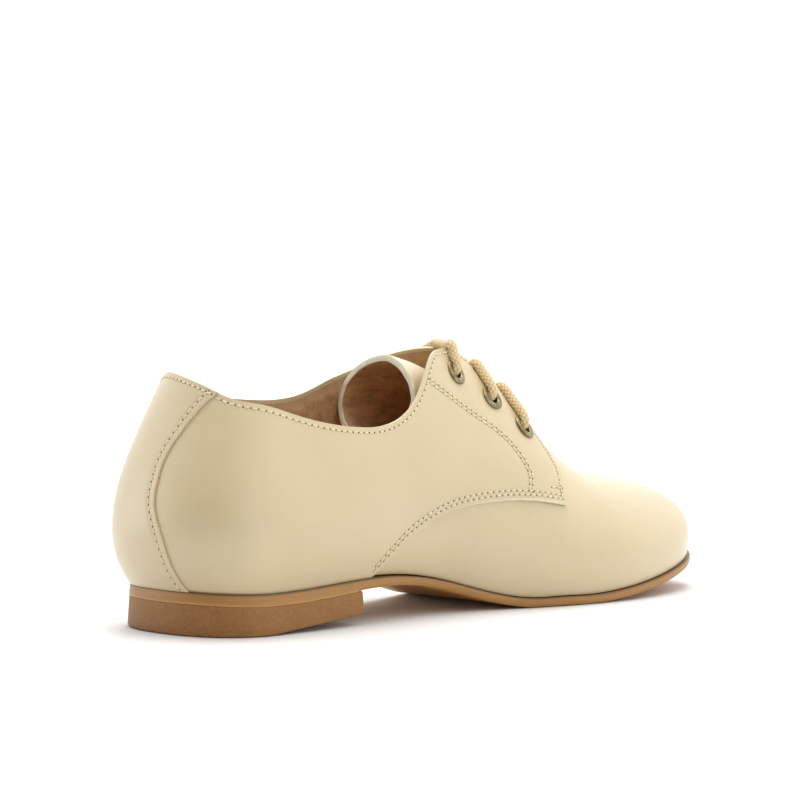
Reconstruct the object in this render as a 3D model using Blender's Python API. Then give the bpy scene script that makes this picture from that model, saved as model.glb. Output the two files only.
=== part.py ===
"""Blucher: a right shoe with open lacing, a leather sole and a low stacked heel.

Sizes are in millimetres until a mesh is made.  X runs from the back of the heel to the
toe, Y from the lateral (outer) side to the medial (inner) side, and Z up from the floor.
"""
import math

import bmesh
import bpy
import numpy as np
from mathutils import Vector

MM = 0.001
LATERAL, MEDIAL = -1, 1

LENGTH = 240.0            # feather edge, back of the heel to the toe
WALL = 2.0                # upper, with its lining
FEATHER_WALL = 2.4        # the wall's level foot on the sole
GAP = 0.3                 # between neighbouring pieces
WELD = 0.3                # points of the last closer than this are one point

HEEL_CAP, HEEL_POWER = 23.0, 2.3     # how the plan rounds off at the back
TOE_CAP, TOE_POWER = 63.0, 2.1       # and at the toe
SPINE_START, SPINE_END = 34.0, 198.0  # the ribs fan out from these ends of the spine
SPINE_EASE = 10.0
HEEL_STEPS, TOE_STEPS, ROWS = 9, 12, 12
RUNS = ((62, 5), (80, 3), (124, 12), (150, 5), (159, 4), (177, 3))   # end, steps

THROAT_LATERAL, THROAT_MEDIAL = 7.0, 4.0      # from the ridge to each facing's edge
THROAT_ROUND, THROAT_FRONT = 151.0, 159.0
CORNER_EASE = 0.03        # how soft the top corner of a facing is

INSOLE_THICK = 2.5
INSOLE_INSET = FEATHER_WALL + 0.4
SOLE_MARGIN = 1.2         # the sole stands out past the feather edge
SOLE_BEVEL = 0.8
BREAST = 62.0             # front of the heel block
HEEL_FLAT = 20.0          # the block stands on this much of its length
HEEL_RISE = 3.7           # and lifts this far at its breast
HEEL_BEVEL = 0.6

STRIP_THICK = 1.2
STRIP_LIFT = 0.6          # clear of the wall's facets
STRIP_START = 14.0        # its medial edge runs up this rib
STRIP_ROWS, STRIP_COLUMNS = 14, 14

TONGUE_ROWS, TONGUE_COLUMNS = 12, 14
TONGUE_LEAN = 4.0
TONGUE_SHIFT = -0.75      # towards the lateral side

EYELET_SEGMENTS = 16
HOLE_RADIUS = 3.2
LACE_RADIUS = 1.8
LACE_SIDES, LACE_STEPS = 8, 26


def curve(rows, column):
    """Natural cubic through one column of a table, against its first column."""
    knots = np.array([row[0] for row in rows], float)
    values = np.array([row[column] for row in rows], float)
    steps = np.diff(knots)
    system, bend = np.eye(len(knots)), np.zeros(len(knots))
    for i in range(1, len(knots) - 1):
        system[i, i - 1:i + 2] = steps[i - 1], 2 * (steps[i - 1] + steps[i]), steps[i]
        before = (values[i] - values[i - 1]) / steps[i - 1]
        bend[i] = 6 * ((values[i + 1] - values[i]) / steps[i] - before)
    second = np.linalg.solve(system, bend)

    def at(x):
        x = np.clip(np.asarray(x, float), knots[0], knots[-1])
        i = np.clip(np.searchsorted(knots, x) - 1, 0, len(knots) - 2)
        left, right, step = x - knots[i], knots[i + 1] - x, steps[i]
        value = (second[i] * right ** 3 + second[i + 1] * left ** 3) / (6 * step)
        value += (values[i] / step - second[i] * step / 6) * right
        return value + (values[i + 1] / step - second[i + 1] * step / 6) * left
    return at


def columns(names, rows):
    """A table as curves by column name; the first column is the running size."""
    return {name: curve(rows, k) for k, name in enumerate(names.split()) if k}


# Half widths of the feather edge, before its ends are rounded off
PLAN = columns("x lateral medial", (
    (0, 29.7, 29.7),
    (30, 29.7, 29.3),
    (60, 28.0, 26.5),
    (100, 24.8, 21.0),
    (135, 31.3, 28.8),
    (165, 38.2, 38.6),
    (190, 38.2, 41.0),
    (240, 35.0, 38.0)))

# Feather and widest heights, how far the side swells, and the fullness of flank and crown
PROFILE = columns("x feather widest swell flank crown", (
    (0, 13.9, 32.6, 6.2, 0.29, 0.27),
    (30, 13.9, 33.2, 6.0, 0.32, 0.30),
    (60, 15.2, 33.6, 5.5, 0.36, 0.28),
    (100, 12.4, 31.5, 5.4, 0.38, 0.26),
    (140, 3.42, 21.5, 4.0, 0.34, 0.25),
    (150, 3.45, 18.7, 3.3, 0.345, 0.275),
    (160, 3.36, 16.5, 2.6, 0.36, 0.32),
    (180, 4.6, 14.5, 1.7, 0.42, 0.45),
    (210, 8.5, 15.5, 1.2, 0.47, 0.50),
    (240, 13.1, 21.5, 0.5, 0.55, 0.57)))

# Top line of the last, closed over the foot
RIDGE = columns("x height", (
    (34, 122.0), (70, 141.0), (100, 120.0), (120, 98.0),
    (140, 84.3), (160, 65.0), (180, 47.6), (198, 41.4)))

# Height of the collar's edge, lower under the outer ankle
TOPLINE = columns("x lateral medial", (
    (0, 79.9, 87.7),
    (7, 77.2, 85.1),
    (17, 75.5, 80.7),
    (35, 70.7, 75.9),
    (62, 66.0, 72.7),
    (76, 66.6, 72.9),
    (84, 69.3, 75.2),
    (92, 74.9, 79.0),
    (99, 82.4, 81.7),
    (106, 88.5, 84.6),
    (113, 90.0, 87.3),
    (122, 90.5, 89.4),
    (130, 92.5, 90.4),
    (140, 96.0, 94.0)))
COLLAR_LEAN = 3.9         # round the back the two heights run into each other

# Sole under the feather edge
SOLE = columns("x thickness", (
    (0, 3.9), (62, 3.7), (90, 3.1), (140, 3.2), (180, 3.2), (240, 3.1)))

# How far the strip round the back of the heel reaches to the lateral side
STRIP = columns("height reach", (
    (14, 13.0), (18, 11.6), (26, 9.8), (35, 6.8), (42, 3.5),
    (50, 2.7), (58, 3.5), (66, 6.7), (73, 9.8), (84, 15.1)))

# Arch of the tongue: crown height, half width, rise, half angle and thickness
TONGUE = columns("x crown half_width rise angle thickness", (
    (99, 87.6, 18.7, 15.6, 100, 3.0),
    (109, 84.9, 18.0, 15.8, 92, 2.8),
    (118, 81.2, 17.0, 16.8, 84, 2.6),
    (130, 77.0, 16.4, 18.0, 78, 2.4),
    (142, 72.8, 16.2, 17.6, 74, 2.2),
    (154, 65.2, 16.2, 13.8, 70, 2.0),
    (168, 53.2, 14.6, 8.4, 64, 1.8)))
TONGUE_END, TONGUE_ROOT = 99.0, 168.0

# Eyelets, by their lateral and medial ribs, how far up, and the lace's height over the edges
EYELETS = (
    (118.0, 122.0, 1.591, 4.4),
    (134.5, 136.0, 1.602, 3.2),
    (146.9, 147.5, 1.566, 3.0))

# Turned profile of an eyelet: radius, height over the leather
EYELET_PROFILE = (
    (2.40, -2.9), (2.85, -2.9), (2.85, 0.40), (4.45, 0.40), (4.65, 0.75),
    (4.30, 1.15), (3.40, 1.35), (2.65, 1.10), (2.40, 0.60))

# Lace out of an eyelet and over the facing: distance up the facing, height over it
LACE_RUN = ((0.0, -2.4), (0.0, 0.4), (0.55, 2.25), (2.0, 3.4), (4.2, 3.9))
LACE_ACROSS = (0.2, 0.5, 0.8)     # shares of the way over the throat

LOOKS = {                    # colour, roughness, metallic
    "cream_leather": ((0.78, 0.66, 0.46), 0.45, 0.0),
    "tan_sole_leather": ((0.42, 0.22, 0.09), 0.5, 0.0),
    "stacked_heel": ((0.33, 0.17, 0.07), 0.65, 0.0),
    "insole_leather": ((0.36, 0.22, 0.12), 0.8, 0.0),
    "tongue_leather": ((0.74, 0.62, 0.43), 0.55, 0.0),
    "aged_brass": ((0.32, 0.26, 0.16), 0.35, 0.9),
    "lace_cord": ((0.66, 0.47, 0.24), 0.8, 0.0)}


def blend(amount, a, b):
    return a + (b - a) * amount


def plan_half(x, side):
    """Half width of the feather edge."""
    x = np.asarray(x, float)
    back = np.clip(1 - x / HEEL_CAP, 0, 1)
    front = np.clip((x - (LENGTH - TOE_CAP)) / TOE_CAP, 0, 1)
    width = PLAN["lateral"](x) if side == LATERAL else PLAN["medial"](x)
    width = width * (1 - back ** HEEL_POWER) ** (1 / HEEL_POWER)
    return width * (1 - front ** TOE_POWER) ** (1 / TOE_POWER)


def spine(x):
    """Foot of a rib on the spine, held softly between the spine's ends."""
    held = SPINE_START + np.logaddexp(0, (x - SPINE_START) / SPINE_EASE) * SPINE_EASE
    return SPINE_END - np.logaddexp(0, (SPINE_END - held) / SPINE_EASE) * SPINE_EASE


def last_point(x, side, up):
    """Point of the last on the rib from feather x; up is 0 feather, 1 widest, 2 ridge."""
    x, up = np.broadcast_arrays(np.asarray(x, float), np.asarray(up, float))
    foot = spine(x)
    out_x, out_y = x - foot, side * plan_half(x, side)
    reach = np.hypot(out_x, out_y)
    out_x, out_y = out_x / reach, out_y / reach
    feather, widest = PROFILE["feather"](x), PROFILE["widest"](x)
    ridge = RIDGE["height"](foot)
    slope = RIDGE["height"](foot + 0.5) - RIDGE["height"](foot - 0.5)
    wide = reach + PROFILE["swell"](x)
    k = np.clip(up, 0, 1)
    low_r = (1 - k) ** 2 * reach + (1 - (1 - k) ** 2) * wide
    low_z = (1 - k) ** 2 * feather + 2 * k * (1 - k) * blend(0.45, feather, widest) + k ** 2 * widest
    k = np.clip(up - 1, 0, 1)
    shoulder = blend(PROFILE["flank"](x), widest, ridge)
    crown = PROFILE["crown"](x) * wide
    high_r = ((1 - k) ** 3 + 3 * k * (1 - k) ** 2) * wide + 3 * k ** 2 * (1 - k) * crown
    high_z = (1 - k) ** 3 * widest + 3 * k * (1 - k) ** 2 * shoulder
    high_z = high_z + 3 * k ** 2 * (1 - k) * (ridge + slope * out_x * crown) + k ** 3 * ridge
    r, z = np.where(up <= 1, low_r, high_r), np.where(up <= 1, low_z, high_z)
    return np.stack([foot + out_x * r, out_y * r, z], -1)


def last_normal(x, side, up):
    """Outward unit normal of the last."""
    along = last_point(x + 0.2, side, up) - last_point(x - 0.2, side, up)
    rise = last_point(x, side, up + 0.01) - last_point(x, side, up - 0.01)
    normal = np.cross(along, rise) * -side
    return normal / np.linalg.norm(normal)


def stations():
    """Feather positions of the ribs, heel to toe."""
    turn = np.linspace(0, math.pi / 2, HEEL_STEPS + 1)
    parts = [HEEL_CAP * (1 - np.cos(turn) ** (2 / HEEL_POWER))]
    start = HEEL_CAP
    for end, steps in RUNS:
        parts.append(np.linspace(start, end, steps + 1)[1:])
        start = end
    turn = np.linspace(math.pi / 2, 0, TOE_STEPS + 1)[1:]
    parts.append(LENGTH - TOE_CAP * (1 - np.cos(turn) ** (2 / TOE_POWER)))
    return np.concatenate(parts)


def collar_height(x, side):
    """Height of the collar's edge, leaning down to the lateral side round the back."""
    back = max(0.0, 1 - x / HEEL_CAP)
    rounding = (1 - back ** HEEL_POWER) ** (1 / HEEL_POWER)
    height = TOPLINE["lateral"](x) if side == LATERAL else TOPLINE["medial"](x)
    return height - side * COLLAR_LEAN * (1 - rounding)


def rib_top(x, side):
    """How far up its rib the upper reaches: collar, facing edge, or the ridge."""
    if x >= THROAT_FRONT - 1e-6:
        return 2.0
    up = np.linspace(1, 2, 801)
    points = last_point(x, side, up)
    limit = collar_height(x, side)
    collar = up[np.argmax(points[:, 2] >= limit)] if points[:, 2].max() > limit else 2.0
    past = max(0.0, (x - THROAT_ROUND) / (THROAT_FRONT - THROAT_ROUND))
    half = (THROAT_LATERAL if side == LATERAL else THROAT_MEDIAL) * math.sqrt(1 - past ** 2)
    facing = up[np.argmax(np.hypot(points[:, 0] - spine(x), points[:, 1]) <= half)]
    mean, spread = (collar + facing) / 2, abs(collar - facing) / 2
    return mean - math.sqrt(spread ** 2 + CORNER_EASE ** 2)


def rib_rows(x, side, rows):
    """Points up one rib, evenly spaced from the feather to its top."""
    up = np.linspace(0, rib_top(x, side), 161)
    points = last_point(x, side, up)
    run = np.concatenate([[0], np.cumsum(np.linalg.norm(np.diff(points, axis=0), axis=1))])
    return last_point(x, side, np.interp(np.linspace(0, run[-1], rows + 1), run, up))


def outline(xs, offset):
    """Lateral and medial plan points, offset outwards from the feather edge."""
    sides = [np.stack([xs, side * plan_half(xs, side)], -1) for side in (LATERAL, MEDIAL)]
    around = np.concatenate([sides[1][:0:-1], sides[0]])
    tangent = np.gradient(around, axis=0)
    if np.allclose(around[0], around[-1]):
        tangent[0] = tangent[-1] = around[1] - around[-2]
    normal = np.stack([tangent[:, 1], -tangent[:, 0]], -1)
    normal /= np.linalg.norm(normal, axis=1, keepdims=True)
    moved = around + normal * offset
    middle = len(xs) - 1
    return moved[middle:], moved[middle::-1]


def add_grid(bm, points, wrap=False):
    """Quads over a grid of points; wrap closes the second direction."""
    rows, count = points.shape[:2]
    verts = [[bm.verts.new(points[i, j] * MM) for j in range(count)] for i in range(rows)]
    for i in range(rows - 1):
        for j in range(count if wrap else count - 1):
            k = (j + 1) % count
            bm.faces.new((verts[i][j], verts[i + 1][j], verts[i + 1][k], verts[i][k]))
    return verts


def weld(bm, distance=0.001):
    bmesh.ops.remove_doubles(bm, verts=bm.verts, dist=distance * MM)
    bmesh.ops.recalc_face_normals(bm, faces=bm.faces)
    bm.normal_update()


def point_out(bm, reference):
    """Turn an open sheet so that its faces look away from a point inside it."""
    inside = Vector(reference) * MM
    score = sum(f.normal.dot(f.calc_center_median() - inside) * f.calc_area() for f in bm.faces)
    if score < 0:
        bmesh.ops.reverse_faces(bm, faces=bm.faces)
        bm.normal_update()


def thicken(bm, inner_point):
    """Give an open sheet an inner face and a rim; inner_point places the inner points."""
    outer_faces = list(bm.faces)
    edges = [e for e in bm.edges if e.is_boundary]
    inner = {v: inner_point(v) for v in bm.verts}
    inner = {v: bm.verts.new(co) for v, co in inner.items()}
    for edge in edges:
        loop = edge.link_loops[0]
        a, b = loop.vert, loop.link_loop_next.vert
        bm.faces.new((b, a, inner[a], inner[b]))
    for face in outer_faces:
        bm.faces.new([inner[v] for v in reversed(face.verts)])


def finish(bm, name, look, sharp=40.0):
    """Mesh object with its own material, shaded smooth up to an angle."""
    bmesh.ops.triangulate(bm, faces=[f for f in bm.faces if len(f.verts) > 4])
    mesh = bpy.data.meshes.new(name)
    bm.to_mesh(mesh)
    bm.free()
    mesh.shade_smooth()
    mesh.set_sharp_from_angle(angle=math.radians(sharp))
    obj = bpy.data.objects.new(name, mesh)
    bpy.context.collection.objects.link(obj)
    if look:
        colour, roughness, metallic = LOOKS[look]
        material = bpy.data.materials.new(f"{name}_{look}")
        material.use_nodes = True
        shader = material.node_tree.nodes["Principled BSDF"]
        shader.inputs["Base Color"].default_value = (*colour, 1.0)
        shader.inputs["Roughness"].default_value = roughness
        shader.inputs["Metallic"].default_value = metallic
        mesh.materials.append(material)
    return obj


def plate(name, look, xs, rings):
    """Solid between rings of the plan, top to bottom; a ring is an offset and a height by x."""
    bm = bmesh.new()
    levels = []
    for offset, height in rings:
        level = []
        for points in outline(xs, offset):
            level.append(np.column_stack([points, height(points[:, 0])]))
        levels.append(level)
    for side in (0, 1):
        add_grid(bm, np.stack([level[side] for level in levels], 1))
    for level in (levels[0], levels[-1]):
        add_grid(bm, np.stack(level, 1))
    front = np.stack([np.stack([level[0][-1], level[1][-1]]) for level in levels])
    if not np.allclose(front[:, 0], front[:, 1]):
        add_grid(bm, front)
    weld(bm)
    return finish(bm, name, look)


def feather(x):
    return PROFILE["feather"](x)


def sole_bottom(x):
    return np.maximum(0.0, feather(x) - GAP - SOLE["thickness"](x))


def heel_bottom(x):
    return HEEL_RISE * np.clip((x - HEEL_FLAT) / (BREAST - HEEL_FLAT), 0, 1)


def make_outsole(xs):
    rings = (
        (SOLE_MARGIN, lambda x: feather(x) - GAP),
        (SOLE_MARGIN, lambda x: sole_bottom(x) + SOLE_BEVEL),
        (SOLE_MARGIN - SOLE_BEVEL, sole_bottom))
    return plate("outsole", "tan_sole_leather", xs, rings)


def make_heel(xs):
    xs = xs[xs <= BREAST + 1e-6]
    rings = (
        (SOLE_MARGIN - SOLE_BEVEL, lambda x: sole_bottom(x) - GAP),
        (SOLE_MARGIN, lambda x: sole_bottom(x) - GAP - SOLE_BEVEL),
        (SOLE_MARGIN, lambda x: heel_bottom(x) + HEEL_BEVEL),
        (SOLE_MARGIN - HEEL_BEVEL, heel_bottom))
    return plate("heel", "stacked_heel", xs, rings)


def make_insole(xs):
    rings = (
        (-INSOLE_INSET - 0.5, lambda x: feather(x) + INSOLE_THICK),
        (-INSOLE_INSET, lambda x: feather(x) + INSOLE_THICK - 0.5),
        (-INSOLE_INSET, feather))
    return plate("insole", "insole_leather", xs, rings)


def make_upper(xs):
    """Hollow wall over the last, open at collar and throat and underneath."""
    bm = bmesh.new()
    for side in (LATERAL, MEDIAL):
        add_grid(bm, np.stack([rib_rows(x, side, ROWS) for x in xs]))
    weld(bm, WELD)
    point_out(bm, (LENGTH / 2, 0, 30))

    def inner_point(v):
        if v.is_boundary and abs(v.co.z / MM - float(feather(v.co.x / MM))) < 0.05:
            level = Vector((v.normal.x, v.normal.y, 0)).normalized()
            return v.co - level * FEATHER_WALL * MM
        return v.co - v.normal * WALL * MM
    thicken(bm, inner_point)
    return finish(bm, "upper", "cream_leather")


def make_back_strip():
    """Proud strip round the back of the heel, between two offsets of the last."""
    end = math.acos((1 - STRIP_START / HEEL_CAP) ** (HEEL_POWER / 2))
    turn = np.linspace(0, end, 40)
    xs = HEEL_CAP * (1 - np.cos(turn) ** (2 / HEEL_POWER))
    ribs = [rib_rows(x, MEDIAL, 100) for x in xs[:0:-1]] + [rib_rows(x, LATERAL, 100) for x in xs]
    ribs = np.stack(ribs)
    grid = []
    for step in np.linspace(2, 100, STRIP_ROWS + 1):
        line = ribs[:, int(round(step))]
        run = np.concatenate([[0], np.cumsum(np.linalg.norm(np.diff(line, axis=0), axis=1))])
        reach = float(STRIP["reach"](line[len(xs) - 1, 2]))
        at = np.linspace(0, np.interp(reach, -line[:, 1], run), STRIP_COLUMNS + 1)
        grid.append(np.stack([np.interp(at, run, line[:, axis]) for axis in range(3)], -1))
    bm = bmesh.new()
    add_grid(bm, np.stack(grid))
    weld(bm)
    point_out(bm, (LENGTH / 2, 0, 40))
    for vert, normal in [(v, v.normal.copy()) for v in bm.verts]:
        vert.co += normal * (STRIP_LIFT + STRIP_THICK) * MM
    thicken(bm, lambda v: v.co - v.normal * STRIP_THICK * MM)
    return finish(bm, "back_strip", "cream_leather")


def make_tongue():
    """Arched sheet under the facings, from inside the vamp to its free end at the collar."""
    grid = []
    for x in np.linspace(TONGUE_END, TONGUE_ROOT, TONGUE_ROWS + 1):
        limit = math.radians(float(TONGUE["angle"](x)))
        turn = np.linspace(-limit, limit, TONGUE_COLUMNS + 1)
        drop = 1 - np.cos(turn)
        y = TONGUE_SHIFT + TONGUE["half_width"](x) * np.sin(turn)
        z = TONGUE["crown"](x) - TONGUE["rise"](x) * drop
        grid.append(np.column_stack([x - TONGUE_LEAN * drop, y, z]))
    bm = bmesh.new()
    add_grid(bm, np.stack(grid))
    weld(bm)
    point_out(bm, (LENGTH / 2, 0, 20))
    thicken(bm, lambda v: v.co - v.normal * float(TONGUE["thickness"](v.co.x / MM)) * MM)
    return finish(bm, "tongue", "tongue_leather")


def make_eyelet(name, point, normal):
    """Turned eyelet standing in its hole."""
    turn = np.linspace(0, 2 * math.pi, EYELET_SEGMENTS, endpoint=False)
    rings = [[(r * math.cos(a), r * math.sin(a), z) for r, z in EYELET_PROFILE] for a in turn]
    rings.append(rings[0])
    bm = bmesh.new()
    add_grid(bm, np.array(rings), wrap=True)
    weld(bm)
    eyelet = finish(bm, name, "aged_brass", sharp=60)
    eyelet.location = Vector(point) * MM
    eyelet.rotation_euler = Vector(normal).to_track_quat("Z", "Y").to_euler()
    return eyelet


def cut_hole(upper, point, normal):
    """Round hole through the wall for an eyelet."""
    bm = bmesh.new()
    bmesh.ops.create_cone(
        bm, cap_ends=True, segments=EYELET_SEGMENTS, depth=12 * MM,
        radius1=HOLE_RADIUS * MM, radius2=HOLE_RADIUS * MM)
    cutter = finish(bm, "hole_cutter", None)
    cutter.location = Vector(point) * MM
    cutter.rotation_euler = Vector(normal).to_track_quat("Z", "Y").to_euler()
    cutter.hide_render = True
    cutter.display_type = "WIRE"
    boolean = upper.modifiers.new("eyelet_hole", "BOOLEAN")
    boolean.operation = "DIFFERENCE"
    boolean.solver = "EXACT"
    boolean.object = cutter
    return cutter


def smooth_path(points, steps):
    """Evenly spaced points on a smooth line through a few points."""
    ends = np.concatenate([[2 * points[0] - points[1]], points, [2 * points[-1] - points[-2]]])
    line = []
    for a, b, c, d in zip(ends, ends[1:], ends[2:], ends[3:]):
        for t in np.linspace(0, 1, 12, endpoint=False):
            bend = (2 * a - 5 * b + 4 * c - d) * t ** 2 + (3 * b - a - 3 * c + d) * t ** 3
            line.append(0.5 * (2 * b + (c - a) * t + bend))
    line = np.array(line + [points[-1]])
    run = np.concatenate([[0], np.cumsum(np.linalg.norm(np.diff(line, axis=0), axis=1))])
    at = np.linspace(0, run[-1], steps + 1)
    return np.stack([np.interp(at, run, line[:, axis]) for axis in range(3)], -1)


def facing_point(rib, side, up, distance, height):
    """Point over a facing, a distance up the rib from a starting place."""
    ups = np.linspace(up, 2, 201)
    points = last_point(rib, side, ups)
    run = np.concatenate([[0], np.cumsum(np.linalg.norm(np.diff(points, axis=0), axis=1))])
    place = np.interp(distance, run, ups)
    return last_point(rib, side, place) + last_normal(rib, side, place) * height


def make_lace_bar(name, ribs, up, over):
    """Lace from one eyelet over both facings into the other."""
    runs = []
    distance, height = LACE_RUN[-1]
    for rib, side in zip(ribs, (LATERAL, MEDIAL)):
        run = [facing_point(rib, side, up, *step) for step in LACE_RUN]
        ups = np.linspace(up, rib_top(rib, side), 101)
        edge = np.linalg.norm(np.diff(last_point(rib, side, ups), axis=0), axis=1).sum()
        run.append(facing_point(rib, side, up, (distance + edge) / 2, (height + over) / 2))
        run.append(facing_point(rib, side, up, edge, over))
        runs.append(run)
    across = [blend(share, runs[0][-1], runs[1][-1]) for share in LACE_ACROSS]
    path = smooth_path(np.array(runs[0] + across + runs[1][::-1]), LACE_STEPS)
    tangent = np.gradient(path, axis=0)
    tangent /= np.linalg.norm(tangent, axis=1, keepdims=True)
    shoe_long = np.array([1.0, 0.0, 0.0])
    first = shoe_long - tangent * (tangent @ shoe_long)[:, None]
    first /= np.linalg.norm(first, axis=1, keepdims=True)
    second = np.cross(tangent, first)
    turn = np.linspace(0, 2 * math.pi, LACE_SIDES, endpoint=False)
    ring = np.cos(turn)[None, :, None] * first[:, None] + np.sin(turn)[None, :, None] * second[:, None]
    bm = bmesh.new()
    verts = add_grid(bm, path[:, None] + LACE_RADIUS * ring, wrap=True)
    for end in (verts[0], verts[-1]):
        bm.faces.new(end)
    bmesh.ops.recalc_face_normals(bm, faces=bm.faces)
    return finish(bm, name, "lace_cord", sharp=60)


def main():
    for obj in list(bpy.data.objects):
        bpy.data.objects.remove(obj)
    xs = stations()
    upper = make_upper(xs)
    pieces = [make_outsole(xs), make_heel(xs), make_insole(xs), upper]
    pieces += [make_back_strip(), make_tongue()]
    cutters = []
    for number, (right_rib, left_rib, up, over) in enumerate(EYELETS, 1):
        for word, side, rib in (("right", LATERAL, right_rib), ("left", MEDIAL, left_rib)):
            point, normal = last_point(rib, side, up), last_normal(rib, side, up)
            cutters.append(cut_hole(upper, point, normal))
            pieces.append(make_eyelet(f"eyelet_{word}_{number}", point, normal))
        pieces.append(make_lace_bar(f"lace_bar_{number}", (right_rib, left_rib), up, over))
    bpy.context.view_layer.update()
    points = [p.matrix_world @ v.co for p in pieces for v in p.data.vertices]
    low = [min(p[axis] for p in points) for axis in range(3)]
    high = [max(p[axis] for p in points) for axis in range(3)]
    shoe = bpy.data.objects.new("shoe", None)
    bpy.context.collection.objects.link(shoe)
    shoe.location = (-(low[0] + high[0]) / 2, -(low[1] + high[1]) / 2, -low[2])
    for obj in pieces + cutters:
        obj.parent = shoe


main()
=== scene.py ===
"""Looks of a blucher, one right shoe: leather panels, seams, eyelets, lace, sole and finishes.

The panels are laid on the shape of the last.  Sizes of the last are in millimetres, with X from
the back of the heel to the toe, Y from the lateral to the medial side and Z up from the floor.
A place on the last is a rib, named by where it leaves the feather edge, and how far up it is:
0 at the feather edge, 1 at the widest line and 2 at the ridge.
"""
import functools
import math
from contextlib import contextmanager
from types import SimpleNamespace

import bpy
import numpy as np
from bpy.props import FloatProperty, FloatVectorProperty, PointerProperty
from mathutils import Matrix, Vector


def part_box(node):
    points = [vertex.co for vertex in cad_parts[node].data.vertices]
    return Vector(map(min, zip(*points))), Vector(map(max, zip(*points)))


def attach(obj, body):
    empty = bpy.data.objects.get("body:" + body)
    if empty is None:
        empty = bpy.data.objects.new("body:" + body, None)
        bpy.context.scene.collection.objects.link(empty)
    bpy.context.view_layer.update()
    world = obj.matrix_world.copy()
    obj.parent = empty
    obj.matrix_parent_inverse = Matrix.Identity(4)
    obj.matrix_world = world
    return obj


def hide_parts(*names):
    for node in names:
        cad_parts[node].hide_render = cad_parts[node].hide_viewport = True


bl_info = {
    "name": "Blucher",
    "version": (1, 0, 0),
    "blender": (4, 5, 0),
    "location": "View3D > Sidebar > Blucher",
    "description": "Models the leather panels, seams, lace, sole and finishes of one shoe",
    "category": "Add Mesh"}

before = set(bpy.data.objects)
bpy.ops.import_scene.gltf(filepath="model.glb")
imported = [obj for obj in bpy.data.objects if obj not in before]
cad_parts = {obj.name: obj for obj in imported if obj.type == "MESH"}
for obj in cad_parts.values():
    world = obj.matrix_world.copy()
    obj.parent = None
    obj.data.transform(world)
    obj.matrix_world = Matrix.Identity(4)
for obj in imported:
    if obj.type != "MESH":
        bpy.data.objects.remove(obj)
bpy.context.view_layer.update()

MM = 0.001
LATERAL, MEDIAL = -1, 1
SIDES = {"right": LATERAL, "left": MEDIAL}
COLUMN = {LATERAL: "lateral", MEDIAL: "medial"}      # a side's column in the tables

# The last
LENGTH = 240.0
HEEL_CAP, HEEL_POWER = 23.0, 2.3
TOE_CAP, TOE_POWER = 63.0, 2.1
SPINE_START, SPINE_END, SPINE_EASE = 34.0, 198.0, 10.0
THROAT_LATERAL, THROAT_MEDIAL = 7.0, 4.0
THROAT_ROUND, THROAT_FRONT = 151.0, 159.0
CORNER_EASE, PARTING_EASE = 0.03, 0.004     # rounding of the upper's corners, in shares of a rib
LOW_FLANK = 0.45          # how far up the lower flank its bend lies
THROAT_SINK = 1.4         # how far the vamp's ridge sinks in front of the throat
SINK_UP, SINK_START, SINK_END = (1.5, 1.95), (144, 157), (178, 197)      # where it starts and ends
SOLE_MARGIN = 1.2
SOLE_DROP = 0.3           # the sole's top lies this far under the feather edge
BREAST, HEEL_FLAT, HEEL_RISE = 62.0, 20.0, 3.7
SOCK_THICK = 2.5
STRIP_START = 14.0        # rib of the back strip's medial edge
STRIP_TALL = 74.0         # about how long the strip is, up its middle
STRIP_SEWN, STRIP_TOP_INSET = (0.015, 0.985), 0.9     # where its rows start and end
TONGUE_END, TONGUE_ROOT, TONGUE_LEAN, TONGUE_SHIFT = 99.0, 168.0, 4.0, -0.75

# Mesh spacing over the leather
LINE_STEP = 0.5
PANEL_STEP = 0.9
PANEL_ROWS = 92
HEEL_COLUMNS = 36
TOE_COLUMNS = 64

# Sewing, and the holes under the eyelets
GROOVE_WIDE = 0.75        # how far from a row of stitches the leather is pulled down
EYELET_HOLE = 3.1         # radius of a hole
HOLE_CUT, HOLE_RIM = 0.86, 1.8      # shares of it: what is cut out, and how far out its rim is

# The photograph's view, on the axes of the last
CAMERA_PLACE = (-799.4, -971.4, 154.3)
CAMERA_TURN, CAMERA_DIP = 47.0, 3.56
CAMERA_FOCAL = 3860 / 800      # focal length as a share of the image's width
SENSOR = 36.0


def curve(rows, column):
    """Natural cubic through one column of a table, against its first column."""
    knots = np.array([row[0] for row in rows], float)
    values = np.array([row[column] for row in rows], float)
    steps = np.diff(knots)
    system, bend = np.eye(len(knots)), np.zeros(len(knots))
    for i in range(1, len(knots) - 1):
        system[i, i - 1:i + 2] = steps[i - 1], 2 * (steps[i - 1] + steps[i]), steps[i]
        before = (values[i] - values[i - 1]) / steps[i - 1]
        bend[i] = 6 * ((values[i + 1] - values[i]) / steps[i] - before)
    second = np.linalg.solve(system, bend)

    def at(x):
        x = np.clip(np.asarray(x, float), knots[0], knots[-1])
        i = np.clip(np.searchsorted(knots, x) - 1, 0, len(knots) - 2)
        left, right, step = x - knots[i], knots[i + 1] - x, steps[i]
        value = (second[i] * right ** 3 + second[i + 1] * left ** 3) / (6 * step)
        value += (values[i] / step - second[i] * step / 6) * right
        return value + (values[i + 1] / step - second[i + 1] * step / 6) * left
    return at


def columns(names, rows):
    """A table as curves by column name; the first column is the running size."""
    return {name: curve(rows, k) for k, name in enumerate(names.split()) if k}


# Half widths of the feather edge, before its ends are rounded off
PLAN = columns("x lateral medial", (
    (0, 29.7, 29.7), (30, 29.7, 29.3), (60, 28.0, 26.5), (100, 24.8, 21.0),
    (135, 31.3, 28.8), (165, 38.2, 38.6), (190, 38.2, 41.0), (240, 35.0, 38.0)))

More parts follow.
